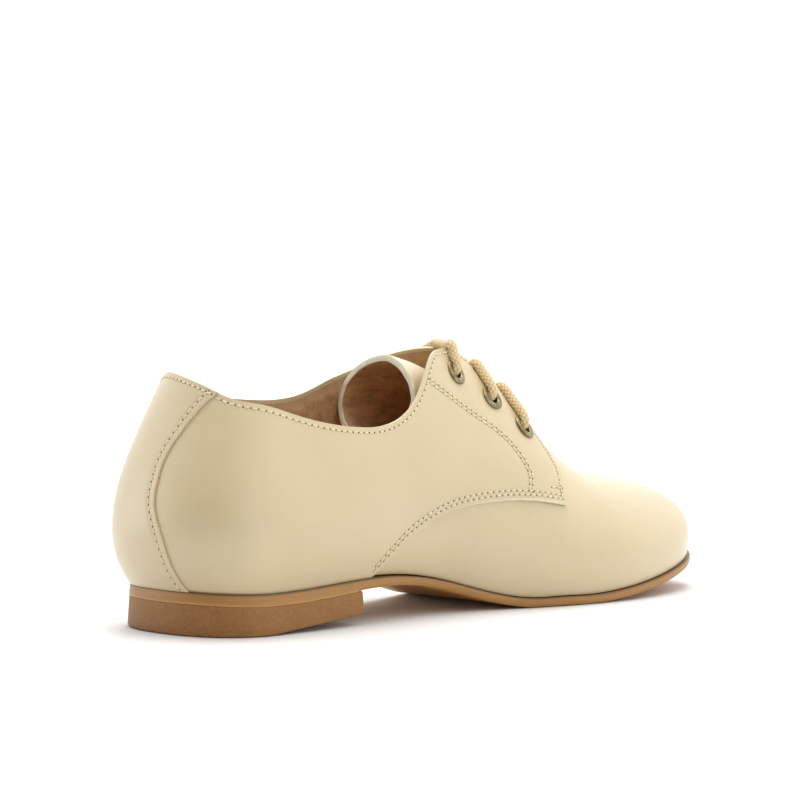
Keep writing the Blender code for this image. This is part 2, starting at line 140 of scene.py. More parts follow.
# Feather and widest heights, how far the side swells, and the fullness of flank and crown
PROFILE = columns("x feather widest swell flank crown", (
    (0, 14.6, 32.6, 6.2, 0.29, 0.27),
    (12, 14.0, 32.8, 6.1, 0.30, 0.28),
    (30, 13.9, 33.2, 6.0, 0.32, 0.30),
    (60, 15.2, 33.6, 5.5, 0.36, 0.28),
    (100, 12.4, 31.5, 5.4, 0.38, 0.26),
    (140, 3.42, 21.5, 4.0, 0.34, 0.25),
    (150, 3.45, 18.7, 3.3, 0.345, 0.275),
    (160, 3.36, 16.5, 2.6, 0.36, 0.32),
    (180, 4.6, 14.5, 1.7, 0.42, 0.45),
    (210, 8.5, 15.5, 1.2, 0.47, 0.50),
    (240, 13.1, 21.5, 0.5, 0.55, 0.57)))

# Top line of the last, closed over the foot
RIDGE = columns("x height", (
    (34, 122.0), (70, 141.0), (100, 120.0), (120, 98.0),
    (140, 84.3), (160, 65.0), (180, 47.6), (198, 41.4)))

# Height of the collar's edge, lower under the outer ankle
TOPLINE = columns("x lateral medial", (
    (0, 79.9, 87.7), (7, 77.2, 85.1), (17, 75.5, 80.7), (35, 70.7, 75.9), (62, 66.0, 72.7),
    (76, 66.6, 72.9), (84, 69.3, 75.2), (92, 74.9, 79.0), (99, 82.4, 81.7), (106, 88.5, 84.6),
    (113, 90.0, 87.3), (122, 90.5, 89.4), (130, 92.5, 90.4), (140, 96.0, 94.0)))
COLLAR_LEAN = 3.9         # round the back the two heights run into each other
BACK_DRAWN = 1.7          # and the leather is drawn in this far,
DRAWN_UP, DRAWN_ROUND = (40, 86), (4, 26)      # from these heights up and to these ribs

# Sole under the feather edge
SOLE = columns("x thickness", (
    (0, 3.9), (62, 3.7), (90, 3.1), (140, 3.2), (180, 3.2), (240, 3.1)))

# How far the strip round the back of the heel reaches to the lateral side
STRIP = columns("height reach", (
    (14, 13.0), (18, 11.6), (26, 9.8), (35, 6.8), (42, 3.5),
    (50, 2.7), (58, 3.5), (66, 6.7), (73, 9.8), (84, 15.1)))

# Arch of the tongue: crown height, half width, rise, half angle and thickness
TONGUE = columns("x crown half_width rise angle thickness", (
    (99, 87.6, 18.7, 15.6, 134, 2.3),
    (109, 84.9, 18.0, 15.8, 126, 2.3),
    (118, 81.2, 17.0, 16.8, 112, 2.3),
    (130, 77.0, 16.4, 18.0, 90, 2.3),
    (142, 72.8, 16.2, 17.6, 74, 2.2),
    (154, 65.2, 16.2, 13.8, 70, 2.0),
    (168, 53.2, 14.6, 8.4, 64, 1.8)))

# Lower edge of the quarter over the vamp, from the waist to the front tab
SEAM = (
    (67.9, 0.0), (74.7, 0.361), (81.4, 0.665), (90.3, 0.926), (100.2, 1.032),
    (120.6, 1.128), (134.1, 1.186), (153.2, 1.252))
SEAM_START, (TAB_X, TAB_UP) = SEAM[0][0], SEAM[-1]

# Upper edge of the quarter where the facings part in front of the lowest eyelet
PARTING_END = 156.3
PARTING = columns("x up", (
    (138, 2.1), (147, 1.815), (152, 1.715), (155, 1.63), (PARTING_END, 1.567)))

# How far the front edge swells out of a straight line, by its share from the tab up
FRONT_SWELL = columns("share swell", ((0, 0.0), (0.42, 1.3), (0.57, 2.0), (0.81, 1.5), (1, 0.0)))

# Decorative double row over the facing, and the bar of stitches at the tab
FACING_ROW = (
    (100.3, 1.421), (108.5, 1.435), (119.1, 1.450), (128.8, 1.447), (135.0, 1.420),
    (138.7, 1.371), (139.9, 1.309), (138.6, 1.262), (138.0, 1.237))
BAR_ROW = ((153.9, 1.336), (151.2, 1.322), (148.3, 1.306))

# Eyelets by their ribs on each side and how far up; then the lace's height over the facing's
# edge, how far it slants forward on the medial side, and how far it sags between the facings
EYELETS = (
    ({LATERAL: 118.0, MEDIAL: 122.0}, 1.591, 2.7, 7.0, 0.0),
    ({LATERAL: 134.5, MEDIAL: 136.0}, 1.602, 1.0, 3.0, 1.2),
    ({LATERAL: 146.9, MEDIAL: 147.5}, 1.566, 0.8, 2.0, 1.2))

# Lace out of an eyelet and over the facing: distance up the facing, height over it
LACE_OUT = ((0.55, -2.6), (0.65, 0.0), (1.2, 1.3), (2.6, 2.05), (4.8, 2.2))
LACE_ACROSS = (0.2, 0.5, 0.8)
LACE_UNDER = ((-0.3, -3.4), (-2.6, -4.4), (-5.2, -4.2))      # the same, behind the facing


# Shape of the last

def blend(amount, a, b):
    return a + (b - a) * amount


def soft_step(low, high, value):
    """From 0 to 1 with a soft start and end."""
    k = np.clip((value - low) / (high - low), 0, 1)
    return k * k * (3 - 2 * k)


def soft_least(a, b, ease):
    """The lesser of two values, rounded where they cross."""
    return (a + b) / 2 - np.sqrt(((a - b) / 2) ** 2 + ease ** 2)


def unit(vectors):
    return vectors / np.linalg.norm(vectors, axis=-1, keepdims=True)


def run_length(line):
    """Distance along a line of points."""
    return np.concatenate([[0], np.cumsum(np.linalg.norm(np.diff(line, axis=0), axis=1))])


def along(line, run, at):
    """Points of a line at distances along it; run holds the distances of its own points."""
    return np.stack([np.interp(at, run, line[:, axis]) for axis in range(line.shape[1])], -1)


def rounding(share, power):
    """Width of a rounded end, from 1 where it starts to 0 at its tip."""
    return (1 - np.clip(share, 0, 1) ** power) ** (1 / power)


def heel_round(x):
    return rounding(1 - x / HEEL_CAP, HEEL_POWER)


def plan_half(x, side):
    """Half width of the feather edge."""
    x = np.asarray(x, float)
    toe_round = rounding((x - (LENGTH - TOE_CAP)) / TOE_CAP, TOE_POWER)
    return PLAN[COLUMN[side]](x) * heel_round(x) * toe_round


def spine(x):
    """Foot of a rib on the spine, held softly between the spine's ends."""
    held = SPINE_START + np.logaddexp(0, (x - SPINE_START) / SPINE_EASE) * SPINE_EASE
    return SPINE_END - np.logaddexp(0, (SPINE_END - held) / SPINE_EASE) * SPINE_EASE


def last_point(x, side, up):
    """Point of the last on the rib from feather x."""
    x, up = np.broadcast_arrays(np.asarray(x, float), np.asarray(up, float))
    foot = spine(x)
    out_x, out_y = x - foot, side * plan_half(x, side)
    reach = np.hypot(out_x, out_y)
    out_x, out_y = out_x / reach, out_y / reach
    feather, widest = PROFILE["feather"](x), PROFILE["widest"](x)
    ridge = RIDGE["height"](foot)
    slope = RIDGE["height"](foot + 0.5) - RIDGE["height"](foot - 0.5)
    wide = reach + PROFILE["swell"](x)
    k = np.clip(up, 0, 1)
    low_r = (1 - k) ** 2 * reach + (1 - (1 - k) ** 2) * wide
    low_z = (1 - k) ** 2 * feather + k ** 2 * widest
    low_z = low_z + 2 * k * (1 - k) * blend(LOW_FLANK, feather, widest)
    k = np.clip(up - 1, 0, 1)
    shoulder = blend(PROFILE["flank"](x), widest, ridge)
    crown = PROFILE["crown"](x) * wide
    high_r = ((1 - k) ** 3 + 3 * k * (1 - k) ** 2) * wide + 3 * k ** 2 * (1 - k) * crown
    high_z = (1 - k) ** 3 * widest + 3 * k * (1 - k) ** 2 * shoulder
    high_z = high_z + 3 * k ** 2 * (1 - k) * (ridge + slope * out_x * crown) + k ** 3 * ridge
    r, z = np.where(up <= 1, low_r, high_r), np.where(up <= 1, low_z, high_z)
    return np.stack([foot + out_x * r, out_y * r, z], -1)


def slopes(x, side, up):
    """How a point of the last moves as its rib moves, and as it goes up its rib."""
    x, up = np.broadcast_arrays(np.asarray(x, float), np.asarray(up, float))
    step = 0.001 + np.clip(np.minimum(x, LENGTH - x) / 2, 0, 0.2)
    forward = last_point(x + step, side, up) - last_point(x - step, side, up)
    rise = last_point(x, side, up + 0.01) - last_point(x, side, up - 0.01)
    return forward / (2 * step[..., None]), rise / 0.02


def last_normal(x, side, up):
    """Outward unit normal of the last."""
    forward, rise = slopes(x, side, up)
    return unit(np.cross(forward, rise) * -side)


def on_last(x, side, up, height):
    """Point a height over the last, with the back of the collar drawn in."""
    place = last_point(x, side, up)
    drawn = soft_step(*DRAWN_UP, place[..., 2]) * (1 - soft_step(*DRAWN_ROUND, np.asarray(x)))
    return place + last_normal(x, side, up) * np.asarray(height - BACK_DRAWN * drawn)[..., None]


def heel_stations(count):
    """Ribs round the back of the heel, evenly spaced."""
    turn = np.linspace(0, math.pi / 2, count + 1)
    return HEEL_CAP * (1 - np.cos(turn) ** (2 / HEEL_POWER))


def collar_height(x, side):
    """Height of the collar's edge, leaning down to the lateral side round the back."""
    return TOPLINE[COLUMN[side]](x) - side * COLLAR_LEAN * (1 - heel_round(x))


def find_top(x, side):
    """How far up its rib the upper reaches: collar, or facing edge."""
    up = np.linspace(1, 2, 401)
    points = last_point(x, side, up)
    collar = np.interp(collar_height(x, side), points[:, 2], up)
    past = max(0.0, (x - THROAT_ROUND) / (THROAT_FRONT - THROAT_ROUND))
    half = (THROAT_LATERAL if side == LATERAL else THROAT_MEDIAL) * math.sqrt(max(0.0, 1 - past ** 2))
    facing = np.interp(-half, -np.hypot(points[:, 0] - spine(x), points[:, 1]), up)
    return soft_least(collar, facing, CORNER_EASE)


TOP_X = np.concatenate([heel_stations(120)[:-1], np.linspace(HEEL_CAP, THROAT_FRONT, 560)])
RIB_TOPS = {side: np.array([find_top(x, side) for x in TOP_X]) for side in SIDES.values()}


def rib_top(x, side):
    """How far up its rib the upper reaches, or the ridge in front of the throat."""
    return np.where(np.asarray(x) >= THROAT_FRONT, 2.0, np.interp(x, TOP_X, RIB_TOPS[side]))


def throat_sink(x, up):
    """How far the ridge of the vamp sinks in front of the throat."""
    ridge = soft_step(*SINK_UP, up) * soft_step(*SINK_START, x) * (1 - soft_step(*SINK_END, x))
    return THROAT_SINK * ridge


def sole_top(x):
    return PROFILE["feather"](x) - SOLE_DROP


def sole_bottom(x):
    return np.maximum(0.0, sole_top(x) - SOLE["thickness"](x))


def heel_bottom(x):
    return HEEL_RISE * np.clip((x - HEEL_FLAT) / (BREAST - HEEL_FLAT), 0, 1)


def toe_stations(count):
    """Ribs round the toe, evenly spaced."""
    turn = np.linspace(math.pi / 2, 0, count + 1)
    return LENGTH - TOE_CAP * (1 - np.cos(turn) ** (2 / TOE_POWER))


def plan_stations(start, end):
    """Ribs from start to end, closer where the plan turns."""
    middle = np.arange(HEEL_CAP, LENGTH - TOE_CAP, PANEL_STEP)[1:-1]
    every = np.concatenate([heel_stations(HEEL_COLUMNS), middle, toe_stations(TOE_COLUMNS)])
    inside = every[(every > start + 0.01) & (every < end - 0.01)]
    return np.concatenate([[start], inside, [end]])


def outline(xs, offset):
    """Lateral and medial plan points, offset outwards from the feather edge."""
    sides = [np.stack([xs, side * plan_half(xs, side)], -1) for side in (LATERAL, MEDIAL)]
    around = np.concatenate([sides[1][:0:-1], sides[0]])
    tangent = np.gradient(around, axis=0)
    if np.allclose(around[0], around[-1]):
        tangent[0] = tangent[-1] = around[1] - around[-2]
    normal = unit(np.stack([tangent[:, 1], -tangent[:, 0]], -1))
    if callable(offset):
        offset = offset(around[:, :1])
    moved = around + normal * offset
    middle = len(xs) - 1
    return moved[middle:], moved[middle::-1]


def find_origin():
    """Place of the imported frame's origin on the axes of the last."""
    low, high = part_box("outsole")
    xs = np.linspace(0, LENGTH, 2401)
    wide = [(plan_half(xs, side).max() + SOLE_MARGIN) * side for side in (LATERAL, MEDIAL)]
    middle = (wide[0] + wide[1]) / 2
    return np.array([LENGTH + SOLE_MARGIN - high.x / MM, middle - (low.y + high.y) / 2 / MM, 0.0])


ORIGIN = find_origin()


def to_frame(points):
    """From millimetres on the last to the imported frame."""
    return (np.asarray(points, float) - ORIGIN) * MM


def to_last(points):
    """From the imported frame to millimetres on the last."""
    return np.asarray(points, float) / MM + ORIGIN


# Lines on the leather

def laid(line, side):
    """A line of ribs and how far up them, as points of the last."""
    return last_point(line[:, 0], side, line[:, 1])


def smooth_line(points, spacing, side=None):
    """Evenly spaced places on a smooth line; with a side, places on the last."""
    points = np.asarray(points, float)
    places = points if side is None else laid(points, side)
    table = np.column_stack([run_length(places), points])
    at = np.linspace(0, table[-1, 0], max(2, int(table[-1, 0] / spacing)) + 1)
    return np.column_stack([curve(table, k + 1)(at) for k in range(points.shape[1])])


def nearest_place(targets, side, x, up):
    """Ribs and how far up them of points close to the last, from places near them."""
    for _ in range(5):
        forward, rise = slopes(x, side, up)
        move = targets - last_point(x, side, up)
        pairs = ((forward, forward), (forward, rise), (rise, rise))
        ff, fr, rr = [(a * b).sum(-1) for a, b in pairs]
        mf, mr = (move * forward).sum(-1), (move * rise).sum(-1)
        area = ff * rr - fr ** 2
        x, up = x + (mf * rr - mr * fr) / area, up + (mr * ff - mf * fr) / area
    return x, up


def inset(line, side, distance, steps=3):
    """A line on the last moved over the leather, downwards for one that runs to the toe."""
    line = line[np.unique(np.linspace(0, len(line) - 1, len(line) // 3 + 2).astype(int))]
    for _ in range(steps):
        x, up = line.T
        places = last_point(x, side, up)
        tangent = unit(np.gradient(places, axis=0))
        move = np.cross(last_normal(x, side, up), tangent) * side * distance / steps
        line = np.column_stack(nearest_place(places + move, side, x, up))
    return smooth_line(line, LINE_STEP, side)


def lay_seam(side):
    """The quarter's lower edge, as ribs and how far up them, smooth over the last."""
    knots = np.array(SEAM, float)
    places = laid(knots, side)
    line = smooth_line(places, LINE_STEP)
    guess = along(knots, run_length(places), run_length(line))
    x, up = nearest_place(line, side, *guess.T)
    return np.column_stack([x, np.maximum(up, 0)])


SEAM_LINES = {side: lay_seam(side) for side in SIDES.values()}


def seam_up(x, side):
    """How far up a rib the quarter starts: the sole, or its edge over the vamp."""
    ribs, ups = SEAM_LINES[side].T
    return np.where(np.asarray(x) < SEAM_START, 0.0, np.interp(x, ribs, ups))


def quarter_top(x, side):
    """How far up a rib the quarter ends."""
    return soft_least(rib_top(x, side), PARTING["up"](x), PARTING_EASE)


def front_edge(shares):
    """Front edge of the quarter, from the tab up."""
    x = blend(shares, TAB_X, PARTING_END) + FRONT_SWELL["swell"](shares)
    return np.column_stack([x, blend(shares, TAB_UP, float(PARTING["up"](PARTING_END)))])


def upper_edge(side):
    """Edge of the quarter along collar, facing and front, down to the tab."""
    back = plan_stations(0.3, PARTING_END)
    top = np.column_stack([back, quarter_top(back, side)])
    line = np.concatenate([top, front_edge(np.linspace(1, 0, 12))[1:]])
    places = laid(line, side)
    keep = [0]
    for i in range(1, len(line)):
        if np.linalg.norm(places[i] - places[keep[-1]]) > 4 * LINE_STEP:
            keep.append(i)
    return smooth_line(line[keep], LINE_STEP, side)


def sewn_lines(side, sizes):
    """Rows of stitches on a quarter, as lines on the last."""
    seam, facing = SEAM_LINES[side], smooth_line(FACING_ROW, LINE_STEP, side)
    return [
        inset(upper_edge(side), side, sizes.edge_row)[:-4],
        inset(seam, side, -sizes.seam_row)[3:-3],
        inset(seam, side, -sizes.seam_second_row)[6:-4],
        inset(facing, side, sizes.facing_rows / 2),
        inset(facing, side, -sizes.facing_rows / 2),
        smooth_line(BAR_ROW, LINE_STEP, side)]


def row_distance(points, lines):
    """Distance in millimetres from each point to the nearest of some lines."""
    flat, targets = points.reshape(-1, 3), np.concatenate(lines)
    nearest = [np.sqrt(((part[:, None] - targets[None]) ** 2).sum(-1).min(1))
               for part in np.array_split(flat, max(1, len(flat) // 1500))]
    return np.concatenate(nearest).reshape(points.shape[:-1])


def sewn_groove(points, rows, sizes):
    """How far rows of stitches pull the leather down."""
    return sizes.groove * np.exp(-(row_distance(points, rows) / GROOVE_WIDE) ** 2)


# Modelling tools

def deselect():
    if bpy.context.mode != "OBJECT":
        bpy.ops.object.mode_set(mode="OBJECT")
    bpy.ops.object.select_all(action="DESELECT")


def select(piece):
    deselect()
    piece.select_set(True)
    bpy.context.view_layer.objects.active = piece


@contextmanager
def editing(piece):
    """Edit mode on a piece, with all of it selected."""
    select(piece)
    bpy.ops.object.mode_set(mode="EDIT")
    bpy.ops.mesh.select_all(action="SELECT")
    yield
    bpy.ops.object.mode_set(mode="OBJECT")


def places_of(piece):
    """Points of a piece in millimetres on the last."""
    flat = np.empty(len(piece.data.vertices) * 3, np.float32)
    piece.data.vertices.foreach_get("co", flat)
    return to_last(flat.reshape(-1, 3))


def move_to(piece, points):
    """Move every point of a piece; places are in millimetres on the last."""
    piece.data.vertices.foreach_set("co", to_frame(points).astype(np.float32).ravel())
    piece.data.update()


def laid_grid(name, points):
    """Sheet of quads: a grid whose points are laid on rows of places, in millimetres."""
    rows, count = points.shape[:2]
    deselect()
    bpy.ops.mesh.primitive_grid_add(x_subdivisions=count - 1, y_subdivisions=rows - 1, size=0.1)
    sheet = bpy.context.object
    if len(sheet.data.vertices) != rows * count:
        raise RuntimeError(f"{name}: the grid has {len(sheet.data.vertices)} points")
    sheet.name = sheet.data.name = name
    move_to(sheet, points)
    return sheet


def joined(name, sheets, merge=0.01):
    """One piece of several sheets, with their shared edges merged."""
    deselect()
    for sheet in sheets:
        sheet.select_set(True)
    bpy.context.view_layer.objects.active = sheets[0]
    if len(sheets) > 1:
        bpy.ops.object.join()
    piece = bpy.context.view_layer.objects.active
    piece.name = piece.data.name = name
    with editing(piece):
        bpy.ops.mesh.remove_doubles(threshold=merge * MM)
        bpy.ops.mesh.normals_make_consistent(inside=False)
    return piece


def face_out(piece, inside):
    """Turn an open sheet so that its faces look away from a place inside it."""
    centre = Vector(to_frame(inside))
    if sum(f.normal.dot(f.center - centre) * f.area for f in piece.data.polygons) < 0:
        with editing(piece):
            bpy.ops.mesh.flip_normals()


def thicken(piece, thickness, edge, group=None, thinnest=1.0):
    """Give a sheet its wall, inwards, with softened edges; thickness and edge in millimetres."""
    wall = piece.modifiers.new("wall", "SOLIDIFY")
    wall.thickness = thickness * MM
    wall.offset = -1.0
    wall.material_offset = 1
    wall.material_offset_rim = 2
    if group:
        wall.vertex_group = group
        wall.thickness_vertex_group = thinnest
    soften = piece.modifiers.new("edge", "BEVEL")
    soften.width = edge * MM
    soften.segments = 3
    soften.limit_method = "ANGLE"
    soften.angle_limit = math.radians(55)
    soften.use_clamp_overlap = True
    select(piece)
    for modifier in list(piece.modifiers):
        bpy.ops.object.modifier_apply(modifier=modifier.name)


def shade(piece, angle=50):
    select(piece)
    bpy.ops.object.shade_smooth_by_angle(angle=math.radians(angle))


def dress(piece, *materials):
    piece.data.materials.clear()
    for material in materials:
        piece.data.materials.append(material)


def set_values(piece, name, values):
    """Store one number for each point, for a material to read."""
    attribute = piece.data.attributes.new(name, "FLOAT", "POINT")
    attribute.data.foreach_set("value", np.asarray(values, np.float32))


def eyelet_frames(side):
    """Places and normals of a side's eyelets."""
    return [(last_point(ribs[side], side, up), last_normal(ribs[side], side, up))
            for ribs, up, *_ in EYELETS]


def from_axis(points, place, normal):
    """Heights over a place along its normal, and the ways out from that axis."""
    apart = points - place
    height = apart @ normal
    return height, apart - height[:, None] * normal


def punch_holes(piece, side, deep=6.0):
    """Open a sheet under each eyelet and round the hole's edge off to a circle."""
    for place, normal in eyelet_frames(side):
        height, flat = from_axis(places_of(piece), place, normal)
        near = (np.linalg.norm(flat, axis=1) < EYELET_HOLE * HOLE_CUT) & (np.abs(height) < deep)
        with editing(piece):
            bpy.ops.mesh.select_mode(type="VERT")
            bpy.ops.mesh.select_all(action="DESELECT")
        piece.data.vertices.foreach_set("select", near)
        bpy.ops.object.mode_set(mode="EDIT")
        bpy.ops.mesh.delete(type="VERT")
        bpy.ops.mesh.select_all(action="SELECT")
        bpy.ops.mesh.region_to_loop()
        bpy.ops.object.mode_set(mode="OBJECT")
        rim = np.empty(len(piece.data.vertices), bool)
        piece.data.vertices.foreach_get("select", rim)
        points = places_of(piece)
        height, flat = from_axis(points, place, normal)
        reach = np.linalg.norm(flat, axis=1)
        rim &= (reach < EYELET_HOLE * HOLE_RIM) & (np.abs(height) < deep)
        points[rim] += (flat * (EYELET_HOLE / reach - 1)[:, None])[rim]
        move_to(piece, points)


# Finishes

class Nodes:
    """Short ways to add nodes to a material or a world."""

    def __init__(self, owner):
        owner.use_nodes = True
        self.tree = owner.node_tree

    def fill(self, node, inputs):
        """Fill in a node's inputs; a value that is a socket is linked, any other is set."""
        for name, value in inputs.items():
            if isinstance(value, bpy.types.NodeSocket):
                self.tree.links.new(value, node.inputs[name])
            else:
                node.inputs[name].default_value = value

    def add(self, kind, inputs, **settings):
        node = self.tree.nodes.new(kind)
        for name, value in settings.items():
            setattr(node, name, value)
        self.fill(node, inputs)
        return node

    def place(self, stretch=(1, 1, 1)):
        """Object coordinates, stretched for a grain that runs one way."""
        place = self.add("ShaderNodeTexCoord", {}).outputs["Object"]
        return self.add("ShaderNodeMapping", {"Vector": place, "Scale": stretch}).outputs[0]

    def stored(self, name):
        """A number that is stored on a piece's points."""
        return self.add("ShaderNodeAttribute", {}, attribute_name=name).outputs["Fac"]

    def noise(self, vector, scale, detail=4.0, roughness=0.55):
        return self.add("ShaderNodeTexNoise", {
            "Vector": vector, "Scale": scale, "Detail": detail, "Roughness": roughness}).outputs["Fac"]

    def cells(self, vector, scale):
        return self.add("ShaderNodeTexVoronoi", {"Vector": vector, "Scale": scale}).outputs["Distance"]

    def ramp(self, value, *stops):
        """Colour or grey by value; a stop is a place and a colour or a grey."""
        node = self.add("ShaderNodeValToRGB", {"Fac": value})
        elements = node.color_ramp.elements
        while len(elements) < len(stops):
            elements.new(0.5)
        for element, (place, colour) in zip(elements, stops):
            element.position = place
            element.color = colour if hasattr(colour, "__len__") else (colour, colour, colour, 1)
        return node.outputs["Color"]

    def mix(self, amount, a, b, way="MIX"):
        sockets = {0: amount, 6: a, 7: b}
        return self.add("ShaderNodeMix", sockets, data_type="RGBA", blend_type=way).outputs[2]

    def reckon(self, way, a, b):
        return self.add("ShaderNodeMath", {0: a, 1: b}, operation=way).outputs[0]

    def bump(self, height, strength, distance, **under):
        return self.add("ShaderNodeBump", {
            "Height": height, "Strength": strength, "Distance": distance, **under}).outputs["Normal"]


def tint(colour, amount):
    """A colour made lighter or darker."""
    return (*[min(1.0, c * amount) for c in colour[:3]], 1.0)


def finish(inputs):
    """The material of a function that gives the shader's inputs; it is made once, under its name."""
    def made(colours=None):
        name = inputs.__name__
        if name not in bpy.data.materials:
            nodes = Nodes(bpy.data.materials.new(name))
            nodes.fill(nodes.tree.nodes["Principled BSDF"], inputs(nodes, colours))
        return bpy.data.materials[name]
    return made


@finish
def smooth_leather(nodes, colours):
    """Satin cream calf: faint mottling, fine pores and a thin finish coat."""
    place = nodes.place()
    mottle, cloud = nodes.noise(place, 38.0, 3.0), nodes.noise(place, 260.0, 5.0)
    light, deep = tint(colours.leather, 1.03), tint(colours.leather_shade, 1.0)
    patches = nodes.ramp(cloud, (0.3, deep), (0.7, light))
    pores = nodes.reckon("MULTIPLY", nodes.noise(place, 2600.0, 2.0), 0.6)
    fine = nodes.bump(nodes.reckon("ADD", nodes.cells(place, 1500.0), pores), 0.16, 0.00006)
    return {
        "Base Color": nodes.mix(0.22, nodes.ramp(mottle, (0.32, deep), (0.66, light)), patches),
        "Normal": nodes.bump(cloud, 0.10, 0.0002, Normal=fine),
        "Roughness": nodes.ramp(cloud, (0.3, 0.40), (0.7, 0.50)),
        "Specular IOR Level": 0.75, "Coat Weight": 0.6, "Coat Roughness": 0.34}


@finish
def cut_edge(nodes, colours):
    """Raw cut edge of the leather, pale and fibrous."""
    fibre = nodes.noise(nodes.place(), 1900.0, 6.0, 0.7)
    return {
        "Base Color": nodes.ramp(fibre, (0.3, tint(colours.cut_edge, 0.72)), (0.68, colours.cut_edge)),
        "Normal": nodes.bump(fibre, 0.6, 0.0002), "Roughness": 0.85}


def suede(nodes, colour, nap, band=None):
    """Napped lining: short fibres brushed into streaks, of another colour where a piece has a band."""
    streaks = nodes.noise(nodes.place(nap), 1.0, 6.0, 0.65)
    place = nodes.place()
    patches, fibre = nodes.noise(place, 120.0, 4.0), nodes.noise(place, 2400.0, 3.0, 0.7)
    dark, light = tint(colour, 0.62), tint(colour, 1.35)
    tone = nodes.ramp(streaks, (0.34, dark), (0.5, colour), (0.68, light))
    tone = nodes.mix(0.35, tone, nodes.ramp(patches, (0.35, dark), (0.65, light)))
    if band:
        tone = nodes.mix(nodes.stored("band"), tone, nodes.mix(0.3, band, tone))
    height = nodes.reckon("ADD", streaks, nodes.reckon("MULTIPLY", fibre, 0.5))
    return {
        "Base Color": tone, "Normal": nodes.bump(height, 0.55, 0.0005), "Roughness": 0.95,
        "Sheen Weight": 0.35, "Sheen Roughness": 0.45, "Sheen Tint": tint(colour, 2.2)}


@finish
def lining_suede(nodes, colours):
    return suede(nodes, colours.lining, (500, 120, 300), colours.collar_band)


@finish
def tongue_suede(nodes, colours):
    return suede(nodes, colours.tongue_lining, (160, 420, 420))


@finish
def tongue_edge(nodes, colours):
    """Thick raw end of the tongue, fuzzy and greyish."""
    place, pale = nodes.place(), colours.tongue_edge
    fibre, patches = nodes.noise(place, 1300.0, 8.0, 0.75), nodes.noise(place, 170.0, 3.0)
    colour = nodes.ramp(fibre, (0.28, tint(pale, 0.74)), (0.62, pale))
    warm = nodes.mix(0.5, pale, colours.leather)
    return {
        "Base Color": nodes.mix(nodes.ramp(patches, (0.45, 0.0), (0.7, 0.6)), colour, warm),
        "Normal": nodes.bump(fibre, 0.9, 0.0006), "Roughness": 0.95, "Sheen Weight": 0.25}


@finish
def sole_leather(nodes, colours):
    """Dressed sole edge: layered fibres, a dark top line of edge stain and painted shade under the upper,
    and a lower bevel paler with painted floor light.
    """
    layers = nodes.noise(nodes.place((55, 55, 1500)), 1.0, 5.0, 0.6)
    patches, tan = nodes.noise(nodes.place(), 90.0, 4.0), colours.sole
    base = nodes.mix(0.4, nodes.ramp(layers, (0.3, tint(tan, 0.80)), (0.7, tint(tan, 1.12))),
                     nodes.ramp(patches, (0.35, tint(tan, 0.86)), (0.65, tint(tan, 1.10))))
    # Darkest at the top, edge stain and painted shade where the upper meets the sole; brightest at the
    # bottom, painted light bounced from the floor.
    stain_and_painted_light = nodes.ramp(nodes.stored("depth"), (0.0, 0.42), (0.10, 0.52), (0.20, 0.97), (0.78, 1.0),
                        (0.92, 1.2), (1.0, 1.5))
    return {
        "Base Color": nodes.mix(1.0, base, stain_and_painted_light, "MULTIPLY"),
        "Normal": nodes.bump(layers, 0.25, 0.0003),
        "Roughness": nodes.ramp(patches, (0.3, 0.42), (0.7, 0.58)), "Coat Weight": 0.08}


@finish
def heel_board(nodes, colours):
    """Pressed leather board of the heel, flecked with darker and paler grains."""
    place, brown = nodes.place(), colours.heel
    grain, patches = nodes.noise(place, 900.0, 6.0, 0.7), nodes.noise(place, 140.0, 3.0)
    base = nodes.mix(0.3, nodes.ramp(grain, (0.3, tint(brown, 0.74)), (0.7, tint(brown, 1.22))),
                     nodes.ramp(patches, (0.35, tint(brown, 0.85)), (0.65, tint(brown, 1.1))))
    dark = nodes.ramp(nodes.cells(place, 520.0), (0.10, 1.0), (0.19, 0.0))
    pale = nodes.ramp(nodes.cells(nodes.place((1, 1.1, 1.3)), 610.0), (0.07, 1.0), (0.14, 0.0))
    base = nodes.mix(nodes.reckon("MULTIPLY", dark, 0.55), base, tint(brown, 0.42))
    return {
        "Base Color": nodes.mix(nodes.reckon("MULTIPLY", pale, 0.45), base, tint(brown, 1.9)),
        "Normal": nodes.bump(grain, 0.35, 0.0004), "Roughness": 0.62}


@finish
def old_brass(nodes, colours):
    """Antique brass, browned in patches and rubbed bright."""
    patina = nodes.noise(nodes.place(), 420.0, 5.0, 0.6)
    return {
        "Base Color": nodes.ramp(patina, (0.34, tint(colours.brass, 0.45)), (0.62, colours.brass)),
        "Roughness": nodes.ramp(patina, (0.3, 0.48), (0.7, 0.26)),
        "Normal": nodes.bump(patina, 0.08, 0.0003), "Metallic": 1.0}


@finish
def braided_cord(nodes, colours):
    """Round braid with fine fibres: painted light on the plaits' crowns and painted shade down in the gaps
    between them.
    """
    place = nodes.place()
    fibre, patches = nodes.noise(place, 2600.0, 4.0, 0.7), nodes.noise(place, 300.0, 3.0)
    # Painted shade in the gaps between the plaits, and painted light on their crowns.
    colour = nodes.ramp(nodes.stored("plait"), (0.02, colours.lace_gap_shade),
                        (0.24, tint(colours.lace, 0.82)), (0.75, tint(colours.lace, 1.12)))
    worn = nodes.ramp(patches, (0.3, 0.86), (0.7, 1.0))
    return {
        "Base Color": nodes.mix(1.0, colour, worn, "MULTIPLY"),
        "Normal": nodes.bump(fibre, 0.35, 0.0002), "Roughness": 0.88, "Sheen Weight": 0.2}


@finish
def thread(nodes, colours):
    """Pale waxed thread."""
    fibre = nodes.noise(nodes.place(), 3200.0, 3.0, 0.6)
    return {
        "Base Color": nodes.ramp(fibre, (0.3, tint(colours.thread, 0.82)), (0.65, colours.thread)),
        "Normal": nodes.bump(fibre, 0.3, 0.0001), "Roughness": 0.6}


